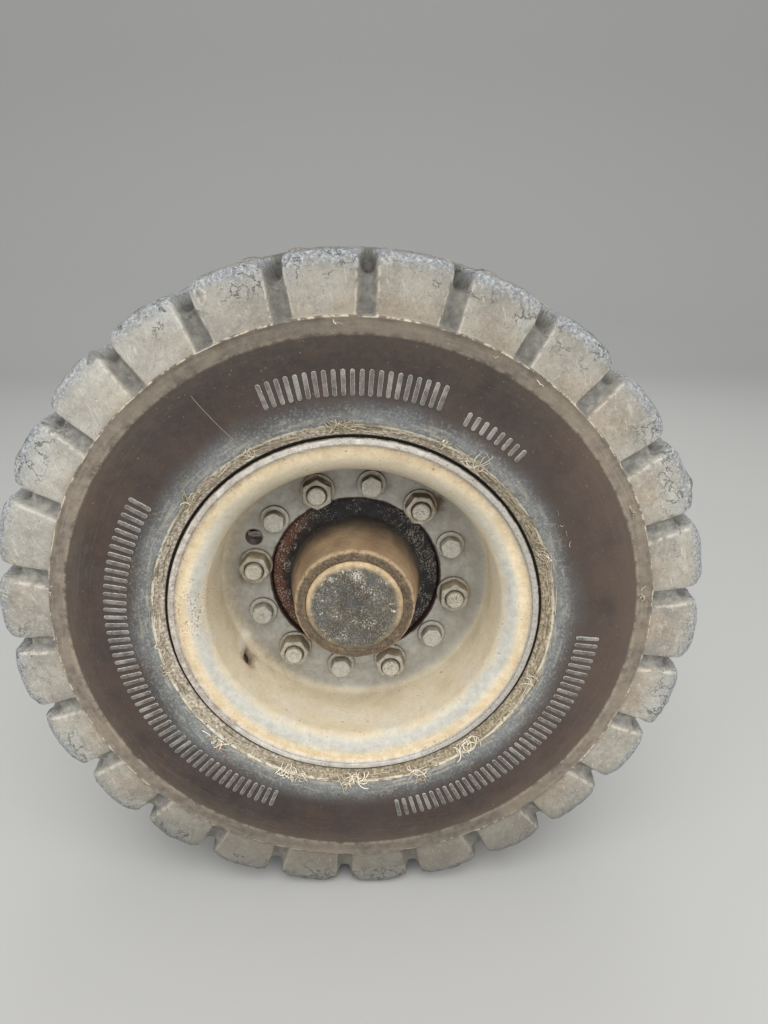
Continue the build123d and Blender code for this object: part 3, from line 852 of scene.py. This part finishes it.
# Outer rows of a hexagon with a turned chamfer, from the edge of its base to its end face
def hexRows(base, top, flats, cornerDegrees, roundness):
    side = 1 if top > base else -1
    half, soften = flats / 2, 120
    local = (hexAngles - math.radians(cornerDegrees)) % (math.pi / 3) - math.pi / 6
    edge = ((half / np.cos(local)) ** -soften + (half * roundness) ** -soften) ** (-1 / soften)
    face = half * 0.9
    slope = 0.55 * side
    brow = top - (edge - face) * slope
    rows = [(edge - 0.5, base), (edge, base + 0.5 * side)]
    rows += [(edge, brow - 0.9 * side), (edge - 0.25, brow - 0.2 * side)]
    for share in (0.75, 0.45, 0.2):
        rows.append((face + (edge - face) * share, top - (edge - face) * share * slope))
    rows += [(face, top - 0.12 * side), (face - 1.0, top)]
    return rows


# Rows of a thread that is clogged with paint, so only its soft ridges are left
def threadRows(radius, first, last, spacing, pitch, depth, angles):
    rows = []
    for out in np.arange(first, last, spacing):
        phase = ((out - pitch * angles / (2 * math.pi)) / pitch) % 1
        rows.append((radius - 0.1 - depth * np.abs(2 * phase - 1), out))
    return rows


def nutShell(x, z, base, top, flats, corner, bore, seed, roundness=1.147):
    side = 1 if top > base else -1
    rows = hexRows(base, top, flats, corner, roundness)
    rows += [(bore + 1.0, top), (bore + 0.4, top - 0.4 * side), (bore, top - 1.0 * side), (bore, base)]
    return roughened(standing(x, z, rows, hexAngles), 3.5, 0.12, seed)


def washerShell(x, z, base, top, bore, outer, seed):
    side = 1 if top > base else -1
    rows = [(bore, base), (bore, top), (outer - 2.5, top), (outer - 0.9, top - 0.1 * side)]
    rows += [(outer - 0.3, top - 0.35 * side), (outer, top - 0.9 * side), (outer, base)]
    return roughened(standing(x, z, rows), 4, 0.12, seed)


def studShell(x, z, seed):
    s = fastenerSizes
    radius, end, back = s["studRadius"], s["studEnd"], s["hubBackOut"]
    head = back - s["studHead"]
    rows = [(0.3, head), (6, head), (11, head), (12, head + 0.9), (12, back - 0.5), (11.6, back)]
    rows += [(radius, back), (radius, -2.0), (radius, s["nutHeight"] - 2.2)]
    rows += threadRows(radius, s["nutHeight"] - 2.0, end - 1.4, 0.25, s["threadPitch"], 0.45, roundAngles)
    rows += [(radius - inset, end - drop) for inset, drop in ((0.5, 1.1), (1.1, 0.5), (1.8, 0.1), (2.4, 0))]
    rows += [(4.9, end - 0.05), (4.3, end - 0.5), (3.2, end - 0.55), (1.8, end - 0.5), (0.3, end - 0.5)]
    points = standing(x, z, rows)
    pits = smoothStep(points[..., 1], -wheelOut - end + 2.5, -wheelOut - end + 0.5)
    points[..., 1] += pits * 0.7 * np.clip(lumps(points, 2.6, seed), 0, 1)
    return roughened(points, 2.2, 0.14, seed + 1)


def boltShell(x, z, corner, seed):
    s = fastenerSizes
    seat = s["discOut"] + s["washerThickness"]
    top = seat + s["boltHead"]
    half = s["boltFlats"] / 2
    rows = [(0.3, s["boltEnd"]), (2.5, s["boltEnd"]), (s["boltRadius"] - 0.7, s["boltEnd"])]
    rows += threadRows(s["boltRadius"], s["boltEnd"] + 0.7, s["backOut"] - s["boltNut"] + 1.0, 0.3,
                       s["boltPitch"], 0.4, hexAngles)
    rows += [(s["boltRadius"], s["backOut"]), (s["boltRadius"], seat)]
    rows += hexRows(seat, top, s["boltFlats"], corner, 1.1)
    dimple = 0.9 if seed % 3 == 0 else 0.25
    rows += [(half * 0.6, top + 0.05), (half * 0.35, top), (1.6, top - 0.1)]
    rows += [(0.9, top - dimple), (0.3, top - dimple)]
    return roughened(standing(x, z, rows, hexAngles), 3, 0.2, seed)


# Zinc-plated steel hardware painted over with the rim: a dull warm grey, tan dust on every flank, dirt
# and painted shade in the corners, rust and painted shade on the top nuts' upper flanks, and rust where the
# spanner has cut through
def hardwareRecipe(face, flank, bare):
    onStudEnd = ("out", 15.8, 16.8)
    return {
        "roughness": (0.55, "fine", 0.2),
        "cornerReach": 5.0,
        "patterns": {
            "fine": (2.6, 4, 0.65),
            "wide": (11, 3, 0.5),
            "speck": (0.8, 2, 0.5),
            "pit": (1.3, 3, 0.6),
        },
        "layers": [
            (1, ("fine", *face)),
            (0.85, ("fine", *flank), ("outward", 0.8, 0.35)),
            # Rust and painted shade: the upper flanks of the top nuts, under the rim's wall, dark brown
            (0.85, "#463426", ("z", 60, 68), ("outward", 0.7, 0.3), ("up", 0.0, 0.5), ("wide", 0.34, 0.46)),
            (0.5, bare, ("wide", 0.56, 0.68)),
            # Dirt and painted shade in the corners, from ambient occlusion
            (0.75, "#453a2c", ("open", 0.8, 0.3)),
            (0.5, "#4d4236", ("speck", 0.62, 0.7)),
            (0.7, "#bab4a5", onStudEnd),
            (0.9, "#2e2a25", ("pit", 0.56, 0.62), onStudEnd, ("x", 0, 50)),
            (0.4, "#7a7265", ("pit", 0.5, 0.62), onStudEnd),
        ],
        "grain": [("fine", 0.06)],
        "relief": [("fine", 0.25), ("speck", 0.1)],
    }


nutPaint = makeFinish("paintedOverNuts", hardwareRecipe(("#989183", "#aaa597", "#b8b4a8"),
                                                        ("#7a6b53", "#8f8066", "#a19377"), "#87694b"))
boltPaint = makeFinish("paintedOverBolts", hardwareRecipe(("#a09c90", "#b0ada2", "#bcb9ae"),
                                                          ("#8a8374", "#979080", "#a39d8f"), "#a39a86"))
zincSteel = makeFinish("dulledZincPlate", hardwareRecipe(("#6e6a62", "#8b8780", "#a7a49d"),
                                                         ("#5f5548", "#7a7060", "#948a78"), "#5b3d2a"))


def makeFasteners():
    s = fastenerSizes
    disc, back = s["discOut"], s["backOut"]
    seat = disc + s["washerThickness"]
    for number, (x, z) in enumerate(studPlaces, start=1):
        stud = gridMesh(f"wheelStud_{number}", plugs=[studShell(x, z, 100 + number * 7)])
        dress(stud, nutPaint, "wheel", "fastener_paint", f"wheel_stud_{number}")
        corner = s["nutTurns"][number - 1]
        nut = nutShell(x, z, seat, seat + s["nutHeight"], s["nutFlats"], corner, s["studRadius"] + 0.1,
                       40 + number)
        washer = washerShell(x, z, disc, seat, s["studRadius"] + 0.5, s["washerRadius"], 60 + number)
        nutAndWasher = gridMesh(f"wheelNut_{number}", rings=[nut, washer])
        dress(nutAndWasher, nutPaint, "wheel", "fastener_paint", f"wheel_nut_{number}")
    for number, (x, z) in enumerate(boltPlaces, start=1):
        corner = rimSizes["boltRing"][1] - 60 * (number - 1) + s["boltTurn"] * number
        bolt = boltShell(x, z, corner, 70 + number)
        washer = washerShell(x, z, disc, seat, s["boltRadius"] + 0.5, s["boltWasher"], 80 + number)
        boltAndWasher = gridMesh(f"rimBolt_{number}", rings=[washer], plugs=[bolt])
        dress(boltAndWasher, boltPaint, "wheel", "fastener_paint", f"rim_bolt_{number}")
        nut = nutShell(x, z, back, back - s["boltNut"], s["boltFlats"], corner, s["boltRadius"] + 0.3,
                       90 + number)
        nutPiece = gridMesh(f"rimBoltNut_{number}", rings=[nut])
        dress(nutPiece, zincSteel, "wheel", "fastener_steel", f"rim_bolt_nut_{number}")


makeFasteners()
print("fasteners placed")

# Hub and knuckle are castings: the CAD form is remeshed so that its edges soften, then roughened
castings = {
    "hub": {"name": "castHub", "voxel": 1.6, "smooth": 4, "grain": 7.0, "amount": 0.22},
    "knuckle": {"name": "forgedKnuckle", "voxel": 1.9, "smooth": 5, "grain": 9.0, "amount": 0.3},
}


def makeCasting(node):
    s = castings[node]
    piece = placed(s["name"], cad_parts[node].data.copy())
    remesh = piece.modifiers.new("remesh", "REMESH")
    remesh.mode, remesh.voxel_size, remesh.use_smooth_shade = "VOXEL", s["voxel"] / 1000, True
    soften = piece.modifiers.new("soften", "SMOOTH")
    soften.factor, soften.iterations = 0.5, s["smooth"]
    applyModifiers(piece)
    mesh = piece.data
    count = len(mesh.vertices)
    places, normals = np.zeros(count * 3), np.zeros(count * 3)
    mesh.vertices.foreach_get("co", places)
    mesh.vertices.foreach_get("normal", normals)
    places, normals = places.reshape(-1, 3) * 1000, normals.reshape(-1, 3)
    raised = s["amount"] * bumpy(places, [(1, s["grain"]), (0.5, s["grain"] / 3)], 31)
    mesh.vertices.foreach_set("co", ((places + normals * raised[:, None]) / 1000).ravel())
    mesh.update()
    return piece


# Sand-cast iron hub: a fine pebbled skin under tan road dust, near black and rusty where oil has wept, with
# painted shade in the recess at its root
hubRecipe = {
    "roughness": (0.82,),
    "cornerReach": 8.0,
    "patterns": {
        "fine": (4, 4, 0.65),
        "wide": (22, 3, 0.5),
        "patch": (13, 4, 0.6),
        "speck": (1.1, 2, 0.5),
        "grit": (1.6, 3, 0.6),
        "rings": (1.5, 2, 0.5, (0.02, 1.0, 0.02)),
        "hair": (0.9, 2, 0.5, (1.0, 1.0, 0.08, -48)),
    },
    "layers": [
        (1, ("wide", "#705a43", "#836c51", "#957e60")),  # barrel
        (0.2, "#a08a68", ("rings", 0.46, 0.62)),
        (0.3, "#a38c6b", ("grit", 0.5, 0.66), ("out", 10, 30)),
        (0.4, "#574734", ("fine", 0.55, 0.72)),
        # Painted shade: the barrel darker towards its root
        (0.75, "#4c4133", ("out", 22, -4, "wide", 16)),
        # Greasy root, near black also as painted shade in the recess behind the disc, rusty at the left
        (0.97, ("fine", "#151517", "#202023", "#2c2a2b"), ("radius", 52.5, 60.5, "patch", 6)),
        (0.9, ("grit", "#33231f", "#66402f", "#8f6450"), ("x", -26, -58, "patch", 40),
         ("radius", 60, 70, "fine", 10)),
        (0.6, "#46372f", ("z", -25, -62, "patch", 24), ("radius", 54, 60)),
        (0.85, "#a59a87", ("speck", 0.58, 0.66), ("patch", 0.48, 0.58), ("radius", 55, 60)),
        (0.85, "#b3aa9a", ("grit", 0.54, 0.61), ("x", -25, -55), ("patch", 0.46, 0.56), ("radius", 56, 61)),
        (0.85, "#958d80", ("grit", 0.54, 0.61), ("x", 22, 52), ("patch", 0.44, 0.54), ("radius", 55, 60)),
        (0.5, "#9a9288", ("hair", 0.61, 0.65), ("x", 20, 50), ("z", 0, 14), ("radius", 55, 60)),
        (0.9, ("grit", "#2e251c", "#453a2d", "#6a5a45"), ("out", 50.2, 51.8, "fine", 1.2)),  # front face
        (0.6, "#b39c7b", ("out", 47.2, 49.8, "fine", 1.5), ("out", 52.3, 51.0), ("fine", 0.34, 0.52)),
        (1, ("fine", "#2a2522", "#3d332c", "#554538"), ("out", -13.6, -14.6)),
    ],
    "grain": [("fine", 0.08)],
    "relief": [("fine", 0.45), ("speck", 0.25)],
}


# Hammer-forged steel knuckle under thick dark chassis paint: satin, greasy, with dust on top
knuckleRecipe = {
    "roughness": (0.42, "fine", 0.5),
    "cornerReach": 8.0,
    "patterns": {
        "fine": (5, 4, 0.6),
        "wide": (30, 3, 0.5),
        "patch": (16, 4, 0.6),
        "speck": (1.2, 2, 0.5),
    },
    "layers": [
        (1, ("wide", "#242220", "#302d2a", "#3c3732")),
        (0.75, "#85765f", ("up", -0.1, 0.9), ("fine", 0.36, 0.62)),
        (0.6, "#57371f", ("patch", 0.58, 0.66)),
        (0.5, "#918268", ("speck", 0.66, 0.72)),
        # Dirt and painted shade in the corners, from ambient occlusion
        (0.6, "#6d604d", ("open", 0.8, 0.4)),
    ],
    "grain": [("fine", 0.08)],
    "relief": [("fine", 0.5), ("speck", 0.15)],
}


dress(makeCasting("hub"), makeFinish("dustedCastIron", hubRecipe), "wheel", "hub_iron", "hub")
knucklePaint = makeFinish("chassisPaintOnForging", knuckleRecipe)
dress(makeCasting("knuckle"), knucklePaint, "knuckle", "knuckle_iron", "knuckle")
print("castings softened")

# Grease cap pressed from sheet, and the lip seal at the hub's inner end
capSizes = {
    "radius": 40.7,
    "face": 54.3,
    "seat": 40.1,
    "metal": 2.0,
    "edge": 3.4,
    "dents": [(0.25, 19), (0.1, 6)],
}


def makeCap():
    s = capSizes
    face, radius, metal, edge = s["face"], s["radius"], s["metal"], s["edge"]
    rows = [(0.4, face)] + [(place, face) for place in np.arange(2.0, radius - edge - 0.5, 1.8)]
    for angle in range(0, 91, 13):
        turn = math.radians(angle)
        rows.append((radius - edge + edge * math.sin(turn), face - edge + edge * math.cos(turn)))
    rows += [(radius, face - 8), (radius, s["seat"]), (radius - metal, s["seat"])]
    rows += [(radius - metal, face - metal), (20.0, face - metal), (0.4, face - metal)]
    points = standing(0, 0, rows, roundTurns(144))
    shown = smoothStep(-wheelOut - points[..., 1], face - 3.0, face - 1.0)
    points[..., 1] += shown * (bumpy(points, s["dents"], 51) + 0.25)  # the face only sinks
    return gridMesh("greaseCap", plugs=[points])


# Pressed steel cap under dark enamel: scoured by grit to pale specks and hair scratches, tan dust
# held at its rolled edge
capRecipe = {
    "roughness": (0.55,),
    "patterns": {
        "fine": (5, 4, 0.65),
        "wide": (20, 3, 0.5),
        "cool": (15, 3, 0.5),
        "patch": (9, 4, 0.6),
        "grit": (1.3, 3, 0.75),
        "dot": (2.0, 3, 0.7),
        "scratch": (0.8, 2, 0.5, (1.6, 1.0, 0.14)),
        "hair": (0.8, 2, 0.5, (0.3, 1.0, 1.5)),
    },
    "layers": [
        (1, ("wide", "#39352d", "#454139", "#514d45")),
        (0.4, "#4b5257", ("cool", 0.46, 0.66)),
        (0.55, "#958b77", ("grit", 0.5, 0.62), ("patch", 0.3, 0.56)),
        (0.8, "#231f1a", ("grit", 0.45, 0.37)),
        (0.5, "#a89f8b", ("scratch", 0.61, 0.66), ("patch", 0.36, 0.54)),
        (0.45, "#a89f8b", ("hair", 0.62, 0.67)),
        (0.85, "#c9c3b3", ("dot", 0.57, 0.63), ("patch", 0.52, 0.62)),
        (0.8, "#d0cabb", ((2, 29), 8, 1, "grit", 6), ("grit", 0.44, 0.54)),
        (0.8, "#d0cabb", ((-19, 26), 4, 1, "grit", 4), ("grit", 0.46, 0.54)),
        (0.8, "#ddd7c6", ((33, -4), 1.4, 0.4)),
        # Dust at the rolled edge, pale above as painted light and darker below as painted shade
        (0.9, ("fine", "#a08a69", "#b7a07b", "#c9b491"), ("radius", 33.2, 39.4, "patch", 6), ("z", -40, 12)),
        (0.8, ("fine", "#64563f", "#786850", "#8d7c63"), ("radius", 34.5, 39.8, "patch", 6), ("z", 16, -30)),
    ],
    "grain": [("grit", 0.12)],
    "relief": [("grit", 0.3), ("wide", 0.8)],
}


# The seal's section, as (radius, out): its back is dished between its outer edge and its lip
sealSection = [(38.2, -61.5), (49.8, -61.5), (49.9, -69.0), (49.4, -69.4), (46.4, -69.4), (45.6, -68.0),
               (41.4, -68.0), (40.6, -69.1), (39.0, -69.2), (38.2, -68.2)]


def makeSeal():
    return gridMesh("lipSeal", rings=[standing(0, 0, sealSection, roundTurns(128))])


# Nitrile rubber, moulded: near black with a dull shine of grease and a little dust
sealRecipe = {
    "roughness": (0.5,),
    "patterns": {"fine": (4, 3, 0.5)},
    "layers": [(1, ("fine", "#151413", "#262321", "#4a4136"))],
    "relief": [("fine", 0.15)],
}

dress(makeCap(), makeFinish("scouredEnamelCap", capRecipe), "wheel", "cap_steel", "hub_cap")
dress(makeSeal(), makeFinish("greasyNitrileRubber", sealRecipe), "wheel", "seal_rubber", "hub_seal")
print("cap and seal made")

# Bands of plain raised bars on the sidewall: from and to in degrees up from +X, inner and outer radius
barBands = [(109.0, 70.0, 181.5, 200.5), (63.0, 48.0, 178.5, 189.5), (-5.0, -79.0, 179.0, 198.0),
            (-113.0, -213.0, 177.5, 195.5)]
barSizes = {
    "pitch": 6.6,
    "width": 3.4,
    "proud": 0.85,
    "sunk": 0.8,
    "bevel": 0.5,
    "wear": [(0.3, 5.0), (0.15, 2.0)],
}


def makeBars():
    s = barSizes
    wallOut = tyreSizes["width"] / 2 - tyreSizes["wallSunk"]
    barProfile = [(-s["sunk"], 0), (s["proud"] - s["bevel"], 0), (s["proud"] - 0.15, s["bevel"] * 0.4),
                  (s["proud"], s["bevel"]), (s["proud"], s["width"] * 0.34)]
    grids = []
    corners = np.radians(np.arange(0, 360, 15) + 7.5)
    for first, last, inner, outer in barBands:
        middle, length = (inner + outer) / 2, outer - inner
        count = round(math.radians(abs(last - first)) * middle / s["pitch"])
        for index in range(count + 1):
            x, z = polar(1, first + (last - first) * index / count)
            radial, tangent = np.array([x, 0, z]), np.array([-z, 0, x])
            rows = []
            for rise, inset in barProfile:
                corner = s["width"] / 2 - inset
                across = corner * np.cos(corners)
                along = corner * np.sin(corners) + np.sign(np.sin(corners)) * (length / 2 - s["width"] / 2)
                points = radial * (middle + along)[:, None] + tangent * across[:, None]
                points[:, 1] = -wheelOut - wallOut - rise
                rows.append(points)
            bar = np.array(rows)
            worn = bumpy(bar, s["wear"], 61)
            bar[2:, :, 1] += np.clip(worn[2:] + 0.1, 0, 0.5)
            grids.append(roughened(bar, 3.0, 0.12, 63))
    return gridMesh("sidewallBars", plugs=grids)


# The same rubber, raised: its faces are scuffed grey and its edges worn pale
barRecipe = {
    "roughness": (0.84,),
    "patterns": {"wide": (24, 3, 0.5), "fine": (4, 4, 0.6), "grit": (1.4, 3, 0.6)},
    "layers": [
        (1, ("fine", "#4b4641", "#5f5b56", "#75716b")),
        (0.7, "#8b8983", ("wide", 0.5, 0.66)),
        (0.85, ("grit", "#7b776f", "#a39f96", "#c4c0b6"), ("outward", 0.97, 0.7)),
        (0.7, "#3a342f", ("outward", 0.3, 0.0)),
    ],
    "grain": [("grit", 0.1)],
    "relief": [("fine", 0.2), ("grit", 0.2)],
}
dress(makeBars(), makeFinish("wornRaisedRubber", barRecipe), "wheel", "tyre_rubber")
print("bars raised")

# Chopped straw and dead grass wedged between the rim's lip and the tyre's bead
strawSizes = {
    "strands": 300,
    "thin": 0.16,
    "thick": 0.38,
    "short": 6.0,
    "long": 30.0,
    "inner": 152.6,
    "sides": 5,
    "seed": 415,
    "wallOut": 80.4,
    "bandOut": 81.3,
    "hair": {"degrees": 121.5, "swing": 3, "radius": 214, "fall": 51, "thick": 0.15, "shade": 0.35},
}

# Tangles, as (degrees up from +X, radius, spread in mm, how many fibres, how long, how pale): the one
# above 1 is a few reddish flakes, and those past the bead are threads of moulding flash
strawTangles = [(-91, 157, 7, 26, 22, 0.4), (-110, 160, 8, 30, 16, 0.4), (-136, 164, 6, 24, 12, 0.4),
                (-134, 166, 4, 9, 5, 1.5), (-52, 154, 9, 24, 30, 0.4), (54, 153, 7, 22, 26, 0.4),
                (65, 160, 4, 22, 9, 0.4), (92, 158, 7, 24, 20, 0.3), (118, 156, 6, 20, 16, 0.3),
                (-164, 160, 4, 14, 9, 0.3), (-172, 158, 3, 10, 8, 0.3), (-22, 156, 5, 16, 20, 0.3),
                (20, 157, 5, 18, 18, 0.3), (140, 157, 5, 16, 18, 0.3), (-70, 157, 6, 18, 24, 0.4),
                (92, 232, 1.5, 4, 6, 0.4), (64, 231, 2, 4, 5, 0.4), (55, 232, 2, 4, 6, 0.4),
                (24, 230, 3, 5, 7, 0.4), (5, 229, 4, 7, 9, 0.4), (-178, 235, 2, 5, 5, 0.4),
                (172, 235, 3, 4, 7, 0.4), (27, 179, 9, 6, 9, 0.2)]


# A thin tube along points, as a grid for gridMesh
def tube(path, radius):
    along = np.gradient(path, axis=0)
    along /= np.linalg.norm(along, axis=1, keepdims=True)
    first = np.cross(along, np.array([0.13, 0.97, 0.21]))
    first /= np.linalg.norm(first, axis=1, keepdims=True)
    second = np.cross(along, first)
    turns = roundTurns(strawSizes["sides"])
    taper = np.concatenate([[0.45], np.ones(len(path) - 2), [0.35]])[:, None, None]
    circle = first[:, None] * np.cos(turns)[None, :, None] + second[:, None] * np.sin(turns)[None, :, None]
    return path[:, None] + circle * radius * taper


def makeStraw():
    s = strawSizes
    chance = np.random.default_rng(s["seed"])
    grids, shades = [], []

    # How far out the tyre's surface lies at a radius near the bead
    def beadOut(radius):
        radius = np.asarray(radius)
        (footRadius, footOut), rise = tyreSizes["swellFoot"], tyreSizes["swellRise"]
        share = np.clip((radius - footRadius) / rise, 0, 1)
        swell = footOut + (s["wallOut"] - footOut) * (1 - (1 - share) ** 2)
        swell = np.where(radius > 224, s["bandOut"], swell)
        return np.where(radius < footRadius, 69.7 + (radius - 151.5) * 0.745, swell)

    # A fibre lies along a bearing in radians from the ring's own direction, and turns by its curl
    def strand(degrees, radius, length, bearing, curl, lift, shade, thicker=1.0, rows=9):
        share = np.linspace(-0.5, 0.5, rows)
        heading = bearing + chance.uniform(-1, 1) * curl * share * 2
        across = np.cumsum(np.sin(heading)) * length / rows
        along = np.cumsum(np.cos(heading)) * length / rows
        wander = radius + across - across.mean()
        wander += max(0, s["inner"] - wander.min())
        angle = math.radians(degrees) + (along - along.mean()) / radius
        thickness = chance.uniform(s["thin"], s["thick"]) * thicker
        bow = 0.25 + np.abs(share + chance.uniform(-0.4, 0.4)) * 1.5
        out = beadOut(wander) + thickness * 0.7 + lift * bow
        grids.append(tube(turned(wander, out, angle), thickness))
        shades.append(np.full(rows * s["sides"], shade))

    for index in range(s["strands"]):
        degrees = chance.uniform(-180, 180)
        radius = s["inner"] + 8.6 * chance.beta(1.1, 1.1)
        strand(degrees, radius, chance.uniform(s["short"], s["long"]), chance.normal(0, 0.06), 0.25,
               chance.uniform(0, 0.9), chance.uniform(0, 0.75))
    for degrees, radius, spread, count, length, pale in strawTangles:
        byBead = radius < 168
        for index in range(count):
            here = degrees + math.degrees(chance.normal(0, spread * 0.8) / radius)
            strand(here, radius + chance.normal(0, spread / 3.5), length * chance.uniform(0.3, 1.0),
                   chance.uniform(-1.3, 1.3), 1.7, chance.uniform(0.2, 2.2),
                   chance.uniform(pale, pale + 0.6), 1.3 if byBead else 0.75)
    # One long hair lies on the sidewall
    hair, share = s["hair"], np.linspace(0, 1, 16)
    radius = hair["radius"] - hair["fall"] * share + 0.5 * np.sin(share * 7)
    angle = np.radians(hair["degrees"] - hair["swing"] * share ** 1.6)
    grids.append(tube(turned(radius, beadOut(radius) + 0.05, angle), hair["thick"]))
    shades.append(np.full(len(share) * s["sides"], hair["shade"]))
    straw = gridMesh("strawInBead", plugs=grids)
    setAttribute(straw, "strawShade", np.concatenate(shades))
    return straw


# Dead grass and chopped straw: split dry stems, bleached pale, the older ones grey-brown
strawRecipe = {
    "roughness": (0.8,),
    "patterns": {"fine": (2.0, 2, 0.5)},
    "layers": [
        (1, "#6b6150"),
        (1, "#a2957c", ("strawShade", 0.0, 0.5)),
        (1, "#ebe2d0", ("strawShade", 0.5, 1.0)),
        (0.3, "#85785c", ("fine", 0.46, 0.7)),
        (0.9, "#a4655c", ("strawShade", 1.2, 1.5)),
    ],
    "relief": [("fine", 0.1)],
}
dress(makeStraw(), makeFinish("driedStraw", strawRecipe), "wheel", "tyre_rubber")
print("straw laid")

# Floor that sweeps up into a backdrop, light and camera
studio = {
    "floor": -280.0,
    "halfWidth": 6000.0,
    "front": -5000.0,
    "bend": 2600.0,
    "round": 1600.0,
    "top": 4500.0,
    "shade": "#adaca9",
    "sky": "#f3f5f7",
    "skyStrength": 0.85,
}


def makeStudio():
    s = studio
    profile = [(s["front"], s["floor"])]
    for angle in range(0, 91, 6):
        turn = math.radians(angle)
        along, rise = s["round"] * math.sin(turn), s["round"] * (1 - math.cos(turn))
        profile.append((s["bend"] + along, s["floor"] + rise))
    profile.append((s["bend"] + s["round"], s["top"]))
    vertices = [(side * s["halfWidth"] / 1000, y / 1000, z / 1000) for y, z in profile for side in (-1, 1)]
    faces = [(2 * row, 2 * row + 1, 2 * row + 3, 2 * row + 2) for row in range(len(profile) - 1)]
    sweep = smoothMesh("studioSweep", vertices, faces)
    paint = bpy.data.materials.new("mattSweepPaint")
    paint.use_nodes = True
    sockets = paint.node_tree.nodes["Principled BSDF"].inputs
    sockets["Base Color"].default_value = toLinear(s["shade"])
    sockets["Roughness"].default_value = 0.9
    sweep.data.materials.append(paint)
    world = bpy.data.worlds.new("softSky")
    world.use_nodes = True
    sockets = world.node_tree.nodes["Background"].inputs
    sockets["Color"].default_value = toLinear(s["sky"])
    sockets["Strength"].default_value = s["skyStrength"]
    bpy.context.scene.world = world


# Soft lamps: name, place in m, the point it looks at, side in m, watts, colour
lamps = [
    ("keyAbove", (0.1, -1.7, 2.0), (0, -0.15, 0), 2.0, 46.0, "#ffffff"),
    ("fillLeft", (-1.5, -1.3, 0.5), (0, -0.15, 0), 1.2, 12.0, "#ffffff"),
    ("fillRight", (1.5, -1.3, 0.5), (0, -0.15, 0), 1.2, 12.0, "#ffffff"),
    ("fillBehind", (0.3, 2.0, 1.7), (0, 0, 0), 1.6, 16.0, "#ffffff"),
]


def makeLamps():
    for name, place, target, side, watts, shade in lamps:
        lamp = bpy.data.lights.new(name, "AREA")
        lamp.energy, lamp.size, lamp.color = watts, side, toLinear(shade)[:3]
        holder = placed(name, lamp)
        holder.location = place
        aim = [to - here for to, here in zip(target, place)]
        flatDistance = math.hypot(aim[0], aim[1])
        holder.rotation_euler = (math.atan2(flatDistance, -aim[2]), 0, math.atan2(-aim[0], aim[1]))


# The photograph's own viewpoint: the lens is 710 px of the 1024 px frame height
viewpoint = {
    "place": (0.011726, -0.709122, 0.279245),
    "down": 20.44,
    "turn": -1.37,
    "focalPixels": 710,
    "frameHeight": 1024,
    "sensor": 36.0,
    "nearest": 0.01,
}


def makeCamera():
    lens = bpy.data.cameras.new("viewCamera")
    lens.sensor_width = viewpoint["sensor"]
    lens.lens = viewpoint["focalPixels"] / viewpoint["frameHeight"] * viewpoint["sensor"]
    lens.clip_start = viewpoint["nearest"]
    camera = placed("viewCamera", lens)
    camera.location = viewpoint["place"]
    camera.rotation_euler = (math.radians(90 - viewpoint["down"]), 0, math.radians(viewpoint["turn"]))
    bpy.context.scene.camera = camera


makeStudio()
makeLamps()
makeCamera()
bpy.context.scene.view_settings.view_transform = "Standard"
print("studio ready")
